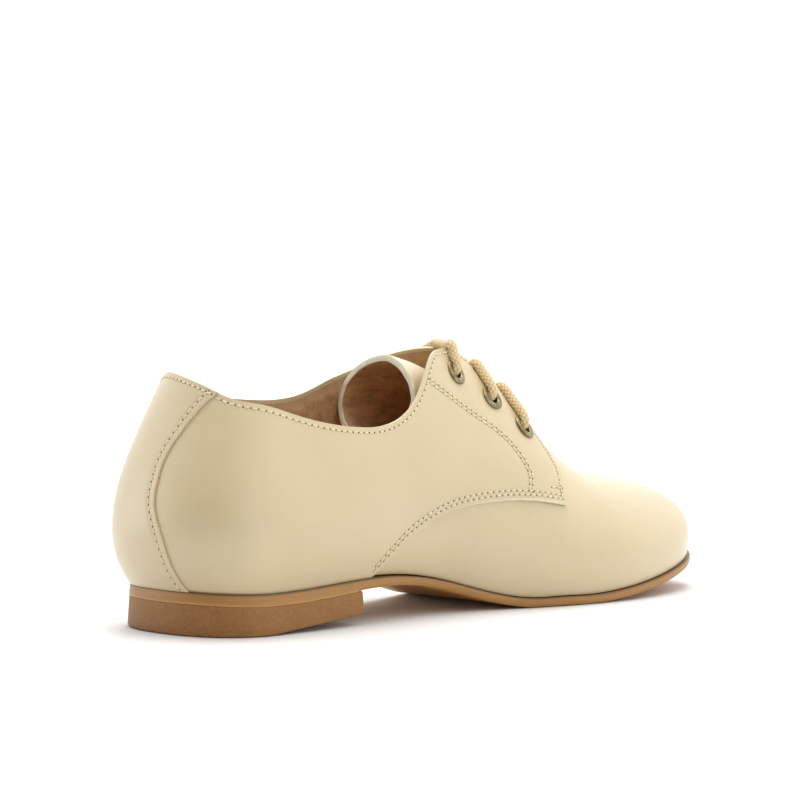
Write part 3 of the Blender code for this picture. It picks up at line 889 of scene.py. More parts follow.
@finish
def needle_hole_shade(nodes, colours):
    """Painted shade in a needle hole: a dark disc stands for the shadow inside it."""
    fibre = nodes.noise(nodes.place(), 2500.0, 3.0)
    dark, light = tint(colours.hole, 0.7), tint(colours.hole, 1.3)
    return {"Base Color": nodes.ramp(fibre, (0.3, dark), (0.7, light)), "Roughness": 0.9}


@finish
def studio_floor(nodes, _):
    """White paper, with painted shade: greyer round the shoe, to deepen its soft shadow."""
    place = nodes.place()
    soft = nodes.ramp(nodes.noise(place, 3.0, 2.0), (0.3, 0.98), (0.7, 1.0))
    far = nodes.add("ShaderNodeVectorMath", {0: place}, operation="LENGTH").outputs["Value"]
    # Painted shade: the paper is darker near the shoe and fades to its own white by 0.45 m.
    painted_shade_round_shoe = nodes.ramp(far, (0.12, 0.79), (0.45, 0.92))
    return {
        "Base Color": nodes.mix(1.0, painted_shade_round_shoe, soft, "MULTIPLY"), "Roughness": 0.75,
        "Specular IOR Level": 0.2}


# Settings of the add-on

def length(name, value, description):
    return FloatProperty(
        name=name, description=description, default=value * MM, unit="LENGTH", subtype="DISTANCE",
        precision=5, min=0.0)


def colour(name, value, description):
    return FloatVectorProperty(
        name=name, description=description, default=(*value, 1.0), subtype="COLOR", size=4,
        min=0.0, max=1.0)


class BlucherSizes(bpy.types.PropertyGroup):
    """Sizes of the leather, the sewing and the lace."""
    leather: length("Leather", 1.0, "Thickness of the upper's leather")
    quarter_lift: length("Quarter lift", 0.4, "How far the quarters stand over the last")
    bevel: length("Bevel", 0.8, "How far the quarter's raw lower edge is bevelled down")
    tab_lift: length("Tab lift", 0.45, "How far the quarter's lower edge curls up at the tab")
    vamp_drop: length("Vamp drop", 0.68, "How far the vamp lies under the last where it is covered")
    lining_depth: length("Lining depth", 1.75, "How far the lining lies inside the last")
    lining: length("Lining", 0.3, "Thickness of the lining")
    strip: length("Back strip", 0.7, "Thickness of the strip over the back seam")
    edge_row: length("Edge row", 1.8, "From the collar's edge to its stitches")
    seam_row: length("Seam row", 1.9, "From the quarter's lower edge to the first row")
    seam_second_row: length("Second seam row", 3.35, "From the quarter's lower edge to the second row")
    facing_rows: length("Facing rows", 1.45, "Between the two rows over the facing")
    strip_row: length("Strip row", 2.7, "From the back strip's edge to its stitches")
    stitch_pitch: length("Stitch pitch", 2.57, "From one needle hole to the next")
    stitch: length("Stitch", 1.7, "Length of one stitch")
    thread: length("Thread", 0.6, "Width of the thread")
    needle: length("Needle hole", 0.7, "Width of a needle hole")
    groove: length("Groove", 0.2, "How deep the stitches pull the leather down")
    lace: length("Lace", 3.6, "Width of the lace")
    plait: length("Plait", 0.34, "How far the lace's plaits stand out")


class BlucherColours(bpy.types.PropertyGroup):
    """Colours of the finishes."""
    leather: colour("Leather", (0.578, 0.464, 0.272), "Cream leather in the light")
    leather_shade: colour("Leather shade", (0.554, 0.440, 0.252), "Cream leather in its deeper patches")
    cut_edge: colour("Cut edge", (0.84, 0.77, 0.58), "Raw edge of the leather")
    lining: colour("Lining", (0.52, 0.315, 0.155), "Suede of the quarters' lining")
    collar_band: colour("Collar band", (0.43, 0.28, 0.14), "Lining under the collar's edge")
    tongue_lining: colour("Tongue lining", (0.50, 0.265, 0.115), "Suede under the tongue")
    tongue_edge: colour("Tongue edge", (0.90, 0.88, 0.68), "Raw end of the tongue")
    sole: colour("Sole", (0.37, 0.178, 0.043), "Sole leather")
    heel: colour("Heel", (0.285, 0.124, 0.028), "Pressed board of the heel")
    brass: colour("Brass", (0.38, 0.31, 0.17), "Antique brass")
    lace: colour("Lace", (0.76, 0.58, 0.32), "Lace")
    # painted shade between the lace's plaits
    lace_gap_shade: colour("Lace gaps", (0.42, 0.26, 0.11), "Between the lace's plaits")
    thread: colour("Thread", (0.80, 0.71, 0.48), "Thread")
    # painted shade inside a needle hole
    hole: colour("Needle hole", (0.16, 0.11, 0.055), "Inside a needle hole")

def settings(context):
    """The panel's sizes in millimetres, and its colours."""
    sizes = context.scene.blucher_sizes
    in_mm = {name: getattr(sizes, name) / MM for name in BlucherSizes.__annotations__}
    return SimpleNamespace(**in_mm), context.scene.blucher_colours


# Pieces

def settle(piece, slot, *nodes):
    """Fix a finished piece to the shoe's one body."""
    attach(piece, "root")
    if nodes:
        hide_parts(*nodes)


class BLUCHER_OT_vamp(bpy.types.Operator):
    """Vamp over the toe, with its wings under the quarters"""
    bl_idname = "blucher.vamp"
    bl_label = "Vamp"
    start, rows, inside = 58.0, 77, (170, 0, 20)
    lap, wing_more = 8.0, 0.06        # how far the wings run under the quarters, back and up
    closing = (142, 151)              # ribs over which the wings rise to the ridge
    fading = (4, 34)                  # distances from the quarters over which the drop ends

    def half(self, side, sizes):
        x = plan_stations(self.start, LENGTH)
        wing = seam_up(x + self.lap, side) + self.wing_more
        top = blend(soft_step(*self.closing, x), wing, 2)
        up = np.linspace(0, 1, self.rows)[:, None] * top[None]
        x = np.broadcast_to(x, up.shape)
        edges = [laid(line, side) for line in (SEAM_LINES[side], upper_edge(side))]
        away = row_distance(last_point(x, side, up), edges)
        covered = (up > seam_up(x, side)) & (x < TAB_X)
        drop = 1 - soft_step(*self.fading, np.where(covered, 0, away))
        return on_last(x, side, up, -sizes.vamp_drop * drop - throat_sink(x, up))

    def execute(self, context):
        sizes, colours = settings(context)
        halves = [laid_grid("vamp", self.half(side, sizes)) for side in SIDES.values()]
        vamp = joined("vamp", halves, merge=0.05)
        face_out(vamp, self.inside)
        dress(vamp, smooth_leather(colours), lining_suede(colours), cut_edge(colours))
        thicken(vamp, sizes.leather, 0.2)
        shade(vamp)
        settle(vamp, "cream_leather", "upper")
        return {"FINISHED"}


class BLUCHER_OT_quarters(bpy.types.Operator):
    """Quarters from the back seam to the facings, over the vamp's wings"""
    bl_idname = "blucher.quarters"
    bl_label = "Quarters"
    inside = (80, 0, 40)
    bevel_rows, bevel_round = (0.0, 0.34, 0.67, 1.0), 1.4      # shares of the bevel's width
    bevel_wide, bevel_ribs = (0.25, 0.8), (98, 148)            # it widens over these ribs
    bevel_start, raw_start = 12, 2                             # from the seam's start at the sole
    swell_start = 128
    bed_wide = 2.4                            # how far from a bar the leather is pressed down
    curl_ribs, curl_share = (105, 150), 0.14  # where the lower edge curls up
    raw_reach = 2.2

    def row_shares(self, side, low_x, top_x):
        """Shares of the way up each column: the bevel's rows, then even ones."""
        way = np.linspace(0, 1, 25)[:, None]
        ups = blend(way, seam_up(low_x, side), quarter_top(top_x, side))
        column = last_point(blend(way, low_x, top_x), side, ups)
        tall = np.linalg.norm(np.diff(column, axis=0), axis=-1).sum(0)[None]
        bevel = blend(soft_step(*self.bevel_ribs, low_x), *self.bevel_wide) / tall
        low = np.array(self.bevel_rows)[:, None] * bevel
        return np.concatenate([low, blend(np.linspace(0, 1, PANEL_ROWS)[1:, None], bevel, 1)])

    def sheet(self, side, sizes):
        """Places of a quarter's points, and which of them are on the raw bevel."""
        top_x = plan_stations(0, PARTING_END)[None]
        low_x = top_x * TAB_X / PARTING_END
        share = self.row_shares(side, low_x, top_x)
        swell = FRONT_SWELL["swell"](share) * soft_step(self.swell_start, PARTING_END, top_x)
        x = blend(share, low_x, top_x) + swell
        up = blend(share, seam_up(low_x, side), quarter_top(top_x, side))
        places = last_point(x, side, up)
        rows = [laid(line, side) for line in sewn_lines(side, sizes)]
        height = sizes.quarter_lift - sewn_groove(places, rows, sizes)
        beds, highest = lace_beds(side, sizes.lace / 2)
        apart = np.linalg.norm(places[..., None, :] - beds, axis=-1)
        pressed = np.maximum(0, sizes.quarter_lift - highest[apart.argmin(-1)])
        height -= pressed * np.exp(-(apart.min(-1) / self.bed_wide) ** 2)
        curl = soft_step(*self.curl_ribs, x) * (1 - soft_step(0, self.curl_share, share))
        height += sizes.tab_lift * curl
        count = len(self.bevel_rows)
        fall = sizes.bevel * (1 - np.array(self.bevel_rows)[:, None]) ** self.bevel_round
        height[:count] -= fall * soft_step(SEAM_START, SEAM_START + self.bevel_start, low_x)
        raw = np.broadcast_to(low_x > SEAM_START + self.raw_start, up.shape).copy()
        raw[count:] = False
        return on_last(x, side, up, height), raw

    def finish_edges(self, quarter, side):
        """Leave only the lower and front edges raw; the rims of the collar and facing get the grain
        leather, as the shoe's folded edges show it.
        """
        front = smooth_line(front_edge(np.linspace(0, 0.9, 12)), LINE_STEP, side)
        raw = [laid(line, side) for line in (SEAM_LINES[side], front)]
        faces = quarter.data.polygons
        index = np.empty(len(faces), np.int32)
        faces.foreach_get("material_index", index)
        centre = np.empty(len(faces) * 3, np.float32)
        faces.foreach_get("center", centre)
        rim = np.flatnonzero(index == 2)
        away = row_distance(to_last(centre.reshape(-1, 3)[rim]), raw)
        index[rim[away > self.raw_reach]] = 0
        faces.foreach_set("material_index", index)

    def execute(self, context):
        sizes, colours = settings(context)
        leather = smooth_leather(colours)
        for word, side in SIDES.items():
            places, raw = self.sheet(side, sizes)
            sheet = laid_grid(f"quarter_{word}", places)
            set_values(sheet, "raw", raw.ravel())
            quarter = joined(f"quarter_{word}", [sheet])
            face_out(quarter, self.inside)
            punch_holes(quarter, side)
            dress(quarter, leather, leather, cut_edge(colours))
            marked = quarter.data.attributes["raw"].data
            for face in quarter.data.polygons:
                if min(marked[i].value for i in face.vertices) > 0.5:
                    face.material_index = 2
            thicken(quarter, sizes.leather, 0.3)
            self.finish_edges(quarter, side)
            shade(quarter)
            settle(quarter, "cream_leather", "upper")
        return {"FINISHED"}


class BLUCHER_OT_lining(bpy.types.Operator):
    """Suede lining inside the quarters and the vamp"""
    bl_idname = "blucher.lining"
    bl_label = "Lining"
    inside = (120, 0, 25)
    below_edge, clear = 1.3, 0.05     # under the collar's edge, and off the leather
    roll, roll_end = (1.2, 6.0), 12   # it comes out to the leather this far below the edge,
    band, band_end = (4.0, 4.8), 4    # the band is this wide, and both end before the throat's front
    sink = 1.5                        # it sinks more than the vamp, to stay under it

    def half(self, side, sizes):
        x = plan_stations(0, LENGTH)
        rows = []
        for rib in x:
            ups = np.linspace(0, float(rib_top(rib, side)), 161)
            run = run_length(last_point(rib, side, ups))
            end = run[-1] if rib >= THROAT_FRONT else run[-1] - self.below_edge
            at = np.linspace(0, end, 61)
            rows.append(np.column_stack([np.interp(at, run, ups), run[-1] - at]))
        up, below = np.stack(rows, 1).transpose(2, 0, 1)
        near = sizes.leather - sizes.quarter_lift + self.clear
        rolled = (1 - soft_step(*self.roll, below)) * (x < THROAT_FRONT - self.roll_end)
        depth = blend(rolled, sizes.lining_depth, near) + self.sink * throat_sink(x, up)
        sheet = laid_grid("lining", on_last(np.broadcast_to(x, up.shape), side, up, -depth))
        banded = (1 - soft_step(*self.band, below)) * (x < THROAT_FRONT - self.band_end)
        set_values(sheet, "band", banded.ravel())
        return sheet

    def execute(self, context):
        sizes, colours = settings(context)
        halves = [self.half(side, sizes) for side in SIDES.values()]
        lining = joined("lining", halves, merge=0.05)
        face_out(lining, self.inside)
        for side in SIDES.values():
            punch_holes(lining, side)
        nap = lining_suede(colours)
        dress(lining, nap, nap, nap)
        thicken(lining, sizes.lining, 0.08)
        shade(lining)
        settle(lining, "insole_leather", "upper")
        return {"FINISHED"}


@functools.lru_cache
def back_ribs():
    """Ribs round the back of the heel, from the medial to the lateral side, and the middle one."""
    end = math.acos((1 - STRIP_START / HEEL_CAP) ** (HEEL_POWER / 2))
    xs = HEEL_CAP * (1 - np.cos(np.linspace(0, end, 70)) ** (2 / HEEL_POWER))
    ribs = []
    for side, stations in ((MEDIAL, xs[:0:-1]), (LATERAL, xs)):
        for x in stations:
            points = on_last(x, side, np.linspace(0, float(rib_top(x, side)), 241), 0.0)
            run = run_length(points)
            ribs.append(along(points, run, np.linspace(0, run[-1], 201)))
    return np.stack(ribs), len(xs) - 1


def strip_lines(shares, inset_by, across):
    """Lines round the back: shares of the height, and of the strip's width from the medial edge."""
    ribs, middle = back_ribs()
    grid = []
    for share in shares:
        level = share * (ribs.shape[1] - 1)
        below = min(int(level), ribs.shape[1] - 2)
        line = blend(level - below, ribs[:, below], ribs[:, below + 1])
        run = run_length(line)
        end = np.interp(float(STRIP["reach"](line[middle, 2])), -line[:, 1], run)
        grid.append(along(line, run, blend(np.asarray(across, float), inset_by, end - inset_by)))
    return np.stack(grid)


def grid_normals(grid):
    """Unit normals of a grid of points, by its neighbours."""
    return unit(np.cross(np.gradient(grid, axis=1), np.gradient(grid, axis=0)))


def strip_rows(sizes):
    """Rows of stitches on the back strip, as places and normals: its two edges, then its top."""
    height = sizes.quarter_lift + sizes.strip
    level = 1 - sizes.edge_row / STRIP_TALL
    sides = np.linspace(*STRIP_SEWN, 161)
    grids = [
        strip_lines(sides, sizes.strip_row, (0.0, 0.05, 0.1)),
        strip_lines(sides, sizes.strip_row, (0.9, 0.95, 1.0)),
        strip_lines((level - 0.01, level, level + 0.01), STRIP_TOP_INSET, np.linspace(0, 1, 90))]
    rows = []
    for grid, row in zip(grids, (np.s_[:, 0], np.s_[:, 2], np.s_[1])):
        normal = grid_normals(grid)[row]
        rows.append((grid[row] + normal * height, normal))
    return rows


class BLUCHER_OT_back_strip(bpy.types.Operator):
    """Proud strip over the back seam"""
    bl_idname = "blucher.back_strip"
    bl_label = "Back strip"
    inside = (60, 0, 45)

    def execute(self, context):
        sizes, colours = settings(context)
        grid = strip_lines(np.linspace(0.004, 1, 101), 0.0, np.linspace(0, 1, 71))
        normals = grid_normals(grid)
        points = grid + normals * (sizes.quarter_lift + sizes.strip)
        groove = sewn_groove(points, [places for places, _ in strip_rows(sizes)], sizes)
        points = points - normals * groove[..., None]
        strip = joined("strip_leather", [laid_grid("strip_leather", points)])
        face_out(strip, self.inside)
        leather = smooth_leather(colours)
        dress(strip, leather, leather, leather)
        thicken(strip, sizes.strip, 0.14)
        shade(strip)
        settle(strip, "cream_leather", "back_strip")
        return {"FINISHED"}


class BLUCHER_OT_tongue(bpy.types.Operator):
    """Arched tongue under the facings, with a thick raw end"""
    bl_idname = "blucher.tongue"
    bl_label = "Tongue"
    inside = (LENGTH / 2, 0, 20)
    lateral_slope, medial_swell = 0.84, 1.0     # the end is flatter on one side, wider on the other
    end_fades, cut_fades = (4, 32), 6           # these distances from the end
    cut = ((0.3, 3.1, 0.8), (0.1, 13, 2))       # waves of its uneven cut: height, turns, start

    def execute(self, context):
        _, colours = settings(context)
        x = np.linspace(TONGUE_END, TONGUE_ROOT, 70)[:, None]
        turn = np.radians(TONGUE["angle"](x)) * np.linspace(-1, 1, 61)[None]
        near_end = 1 - soft_step(*self.end_fades, x - TONGUE_END)
        flat = np.where(turn < 0, blend(near_end, 1.0, self.lateral_slope), 1.0)
        drop = (1 - np.cos(turn)) ** flat
        wide = TONGUE["half_width"](x) + np.where(turn > 0, self.medial_swell * near_end, 0)
        y = TONGUE_SHIFT + wide * np.sin(turn)
        z = TONGUE["crown"](x) - TONGUE["rise"](x) * drop
        uneven = sum(height * np.sin(turns * turn + start) for height, turns, start in self.cut)
        back = x - TONGUE_LEAN * drop + uneven * (1 - soft_step(0, self.cut_fades, x - TONGUE_END))
        tongue = joined("tongue_leather", [laid_grid("tongue_leather", np.stack([back, y, z], -1))])
        face_out(tongue, self.inside)
        thickest = float(TONGUE["thickness"](TONGUE_END))
        group = tongue.vertex_groups.new(name="thickness")
        for index, place in enumerate(places_of(tongue)):
            group.add([index], float(TONGUE["thickness"](place[0])) / thickest, "REPLACE")
        dress(tongue, smooth_leather(colours), tongue_suede(colours), tongue_edge(colours))
        thicken(tongue, thickest, 0.35, "thickness", 0.0)
        shade(tongue)
        settle(tongue, "tongue_leather", "tongue")
        return {"FINISHED"}


def ringed_plate(name, xs, rings, across=17):
    """Closed plate of the plan: rings of an offset and a height by x, from its top to its bottom."""
    levels = [[np.column_stack([p, height(p[:, 0])]) for p in outline(xs, offset)]
              for offset, height in rings]
    sheets = [laid_grid(name, np.stack([level[side] for level in levels])) for side in (0, 1)]
    share = np.linspace(0, 1, across)[:, None, None]
    for (lateral, medial), (_, height) in ((levels[0], rings[0]), (levels[-1], rings[-1])):
        flat = blend(share, lateral[None], medial[None])
        flat[..., 2] = height(flat[..., 0])
        sheets.append(laid_grid(name, flat))
    ends = np.stack([np.stack([level[0][-1], level[1][-1]]) for level in levels])
    if not np.allclose(ends[:, 0], ends[:, 1]):
        wall = blend(np.linspace(0, 1, across)[None, :, None], ends[:, :1], ends[:, 1:])
        sheets.append(laid_grid(name, wall))
    return joined(name, sheets, merge=0.02)


class BLUCHER_OT_sole(bpy.types.Operator):
    """Leather outsole with a rounded edge, from heel seat to toe"""
    bl_idname = "blucher.sole"
    bl_label = "Outsole"
    edge = ((-9.0, 0.0), (0.9, 0.0), (1.15, 0.03), (1.24, 0.12), (1.30, 0.35), (1.28, 0.60),
            (1.16, 0.78), (0.95, 0.88), (0.55, 0.97), (0.1, 1.0), (-9.0, 1.0))   # offset, depth
    flush = 1.5          # over the heel the edge runs straight down,
    seat = (-3, 2)       # to where it goes over at the breast

    def seated(self, offset):
        """Offset of the edge, straight where the heel is under it."""
        straight = self.flush if offset > 0 else offset
        return lambda x: blend(soft_step(*self.seat, x - BREAST), straight, offset)

    def execute(self, context):
        _, colours = settings(context)
        rings = [(self.seated(offset) if depth > 0.5 else offset,
                  lambda x, d=depth: blend(d, sole_top(x), sole_bottom(x)))
                 for offset, depth in self.edge]
        sole = ringed_plate("outsole_leather", plan_stations(0, LENGTH), rings)
        places = places_of(sole)
        top, bottom = sole_top(places[:, 0]), sole_bottom(places[:, 0])
        # Depth down the edge, read by the sole's finish for its stained and painted-shade top line and its
        # painted floor light at the bottom.
        set_values(sole, "depth", np.clip((top - places[:, 2]) / (top - bottom), 0, 1))
        dress(sole, sole_leather(colours))
        shade(sole, 60)
        settle(sole, "tan_sole_leather", "outsole")
        return {"FINISHED"}


class BLUCHER_OT_heel(bpy.types.Operator):
    """Low block of pressed board under the heel seat"""
    bl_idname = "blucher.heel"
    bl_label = "Heel"
    edge = ((1.3, 0.0), (1.46, 0.015), (1.52, 0.05), (1.7, 0.3), (1.95, 0.7), (2.05, 0.93),
            (1.9, 0.98), (1.5, 1.0))     # offset, depth
    clear = 0.03         # under the sole

    def execute(self, context):
        _, colours = settings(context)
        rings = [(offset, lambda x, d=depth: blend(d, sole_bottom(x) - self.clear, heel_bottom(x)))
                 for offset, depth in self.edge]
        heel = ringed_plate("heel_block", plan_stations(0, BREAST), rings)
        dress(heel, heel_board(colours))
        shade(heel)
        settle(heel, "stacked_heel", "heel")
        return {"FINISHED"}


class BLUCHER_OT_sock(bpy.types.Operator):
    """Sock that the foot rests on"""
    bl_idname = "blucher.sock"
    bl_label = "Sock"
    edge = ((-3.0, 1.0), (-2.4, 0.9), (-2.2, 0.7), (-2.2, 0.0))    # offset, height
    clear = 0.05         # over the feather edge

    def execute(self, context):
        _, colours = settings(context)
        rings = [(offset, lambda x, h=height: PROFILE["feather"](x) + self.clear + h * SOCK_THICK)
                 for offset, height in self.edge]
        sock = ringed_plate("sock", plan_stations(0, LENGTH), rings)
        dress(sock, lining_suede(colours))
        shade(sock, 60)
        settle(sock, "insole_leather", "insole")
        return {"FINISHED"}


class BLUCHER_OT_eyelets(bpy.types.Operator):
    """Rolled eyelets, three on each facing"""
    bl_idname = "blucher.eyelets"
    bl_label = "Eyelets"
    segments = 40
    bore, barrel, depth = 2.35, 2.8, 3.0          # radii and depth of the barrel
    ring, ring_wide, ring_low, ring_high = 3.5, 1.12, 0.36, 1.32
    roll_from, roll_to = -18, 198                 # degrees

    def profile(self):
        """Section of an eyelet, from the back of its barrel over the rolled ring and back down."""
        turn = np.linspace(math.radians(self.roll_from), math.radians(self.roll_to), 15)
        middle, half = (self.ring_low + self.ring_high) / 2, (self.ring_high - self.ring_low) / 2
        roll = [(self.ring + self.ring_wide * math.cos(a), middle + half * math.sin(a)) for a in turn]
        outside = [(self.barrel, -self.depth), (self.barrel, self.ring_low)]
        inside = [(self.bore, self.ring_low), (self.bore, -self.depth)]
        return outside + [(self.ring + self.ring_wide * 0.8, self.ring_low)] + roll + inside

    def model(self):
        """Lathe one eyelet: a circle extruded and scaled along its section."""
        profile = self.profile()
        deselect()
        bpy.ops.mesh.primitive_circle_add(
            vertices=self.segments, radius=profile[0][0] * MM, location=(0, 0, profile[0][1] * MM))
        eyelet = bpy.context.object
        bpy.ops.object.transform_apply(location=True, rotation=False, scale=False)
        with editing(eyelet):
            for (radius, height), (wider, higher) in zip(profile, profile[1:] + profile[:1]):
                bpy.ops.mesh.extrude_edges_move(
                    TRANSFORM_OT_translate={"value": (0, 0, (higher - height) * MM)})
                ratio = wider / radius
                bpy.ops.transform.resize(value=(ratio, ratio, 1), center_override=(0, 0, 0))
            bpy.ops.mesh.select_all(action="SELECT")
            bpy.ops.mesh.remove_doubles(threshold=0.01 * MM)
            bpy.ops.mesh.normals_make_consistent(inside=False)
        return eyelet

    def execute(self, context):
        _, colours = settings(context)
        pattern = self.model()
        for word, side in SIDES.items():
            for number, (place, normal) in enumerate(eyelet_frames(side), 1):
                name = f"eyelet_{word}_{number}"
                eyelet = bpy.data.objects.new(f"rolled_{name}", pattern.data.copy())
                context.collection.objects.link(eyelet)
                turn = Vector(normal).to_track_quat("Z", "Y").to_matrix().to_4x4()
                eyelet.data.transform(Matrix.Translation(Vector(to_frame(place))) @ turn)
                dress(eyelet, old_brass(colours))
                shade(eyelet, 60)
                settle(eyelet, "aged_brass", name)
        bpy.data.objects.remove(pattern)
        return {"FINISHED"}


def facing_point(rib, side, up, distance, height):
    """Point over a facing, a distance up the rib from a starting place."""
    ups = np.linspace(up - 0.3, 2, 401)
    run = run_length(last_point(rib, side, ups))
    run -= np.interp(up, ups, run)
    place = np.interp(distance, run, ups)
    return on_last(rib, side, place, height)


def over_facing(number, side):
    """A bar from its eyelet to the facing's edge: ribs, distances up them and heights."""
    ribs, up, over, slant, _ = EYELETS[number - 1]
    lean = slant if side == MEDIAL else 0.0
    ups = np.linspace(up, float(rib_top(ribs[side] + lean, side)), 101)
    edge = run_length(last_point(ribs[side] + lean, side, ups))[-1]
    distance, height = LACE_OUT[-1]
    steps = [*LACE_OUT, ((distance + edge) / 2, (height + over) / 2), (edge - 0.3, over)]
    return [(ribs[side] + lean * max(0.0, far / edge) ** 1.5, far, high) for far, high in steps]


def lace_bar(number, start, end):
    """Route of one bar, from the eyelet on one side over the throat into the other."""
    _, up, _, _, sag = EYELETS[number - 1]
    runs = [[facing_point(rib, side, up, distance, height)
             for rib, distance, height in over_facing(number, side)] for side in (start, end)]
    across = [blend(share, runs[0][-1], runs[1][-1]) - (0, 0, sag * 4 * share * (1 - share))
              for share in LACE_ACROSS]
    return runs[0] + across + runs[1][::-1]


def lace_beds(side, radius):
    """Places under the bars on a facing, and how high the leather can be there."""
    places, highest = [], []
    for number, (_, up, *_) in enumerate(EYELETS, 1):
        steps = np.array(over_facing(number, side)[len(LACE_OUT) - 1:])
        for at in np.linspace(0, len(steps) - 1, 25):
            rib, distance, height = along(steps, range(len(steps)), at)
            places.append(facing_point(rib, side, up, distance, 0.0))
            highest.append(height - radius)
    return np.array(places), np.array(highest)


def lace_behind(first, last, side):
    """Route behind a facing, from one eyelet to another."""
    points = []
    (ribs_a, up_a, *_), (ribs_b, up_b, *_) = EYELETS[first - 1], EYELETS[last - 1]
    rib_a, rib_b = ribs_a[side], ribs_b[side]
    for rib, up, steps in ((rib_a, up_a, LACE_UNDER), (rib_b, up_b, LACE_UNDER[::-1])):
        points += [facing_point(rib, side, up, *step) for step in steps]
    middle = facing_point((rib_a + rib_b) / 2, side, (up_a + up_b) / 2, *LACE_UNDER[-1])
    return points[:3] + [middle] + points[3:]


def lace_route():
    """The whole lace, from behind the top left eyelet to behind the top right one."""
    ribs, up, *_ = EYELETS[0]
    points = [facing_point(ribs[MEDIAL], MEDIAL, up, *step) for step in LACE_UNDER[1::-1]]
    points += lace_bar(1, MEDIAL, LATERAL) + lace_behind(1, 3, LATERAL)
    points += lace_bar(3, LATERAL, MEDIAL) + lace_behind(3, 2, MEDIAL)
    points += lace_bar(2, MEDIAL, LATERAL) + lace_behind(2, 1, LATERAL)[:4]
    return np.array(points)

class BLUCHER_OT_lace(bpy.types.Operator):
    """Braided lace, in straight bars through the eyelets"""
    bl_idname = "blucher.lace"
    bl_label = "Lace"
    sides, spacing = 48, 0.26
    plaits, plait_long = 6, 3.5       # plaits around, and how far one runs before it crosses back
    steep, flat = 0.45, 0.9           # how square the plaits are across and along

    def frames(self, path):
        """Two directions across the path that turn with it as little as they can."""
        tangent = unit(np.gradient(path, axis=0))
        first = np.cross(tangent[0], (0.0, 0.0, 1.0))
        across = []
        for direction in tangent:
            first = unit(first - direction * (first @ direction))
            across.append(first)
        across = np.stack(across)
        return across, np.cross(tangent, across)

    def execute(self, context):
        sizes, colours = settings(context)
        path = smooth_line(lace_route(), self.spacing)
        run = run_length(path)
        first, second = self.frames(path)
        turn = np.linspace(0, 2 * math.pi, self.sides + 1)
        around = self.plaits * turn / (2 * math.pi) / 2
        one = around[None] + run[:, None] / self.plait_long
        other = around[None] - run[:, None] / self.plait_long
        over = (np.floor(one * 2) + np.floor(other * 2)) % 2
        a, b = np.abs(np.sin(np.pi * one * 2)), np.abs(np.sin(np.pi * other * 2))
        height = np.where(over > 0, a ** self.steep * b ** self.flat, a ** self.flat * b ** self.steep)
        radius = sizes.lace / 2 - sizes.plait * (1 - height)
        radius[0] = radius[-1] = 0.0
        ring = np.cos(turn)[None, :, None] * first[:, None] + np.sin(turn)[None, :, None] * second[:, None]
        sheet = laid_grid("lace", path[:, None] + radius[..., None] * ring)
        # How far each point stands out on its plait, for the painted light and shade of the braid.
        set_values(sheet, "plait", height.ravel())
        lace = joined("lace", [sheet], merge=0.001)
        dress(lace, braided_cord(colours))
        shade(lace, 80)
        settle(lace, "lace_cord", "lace_bar_1", "lace_bar_2", "lace_bar_3")
        print(f"lace length {run[-1]:.0f} mm")
        return {"FINISHED"}


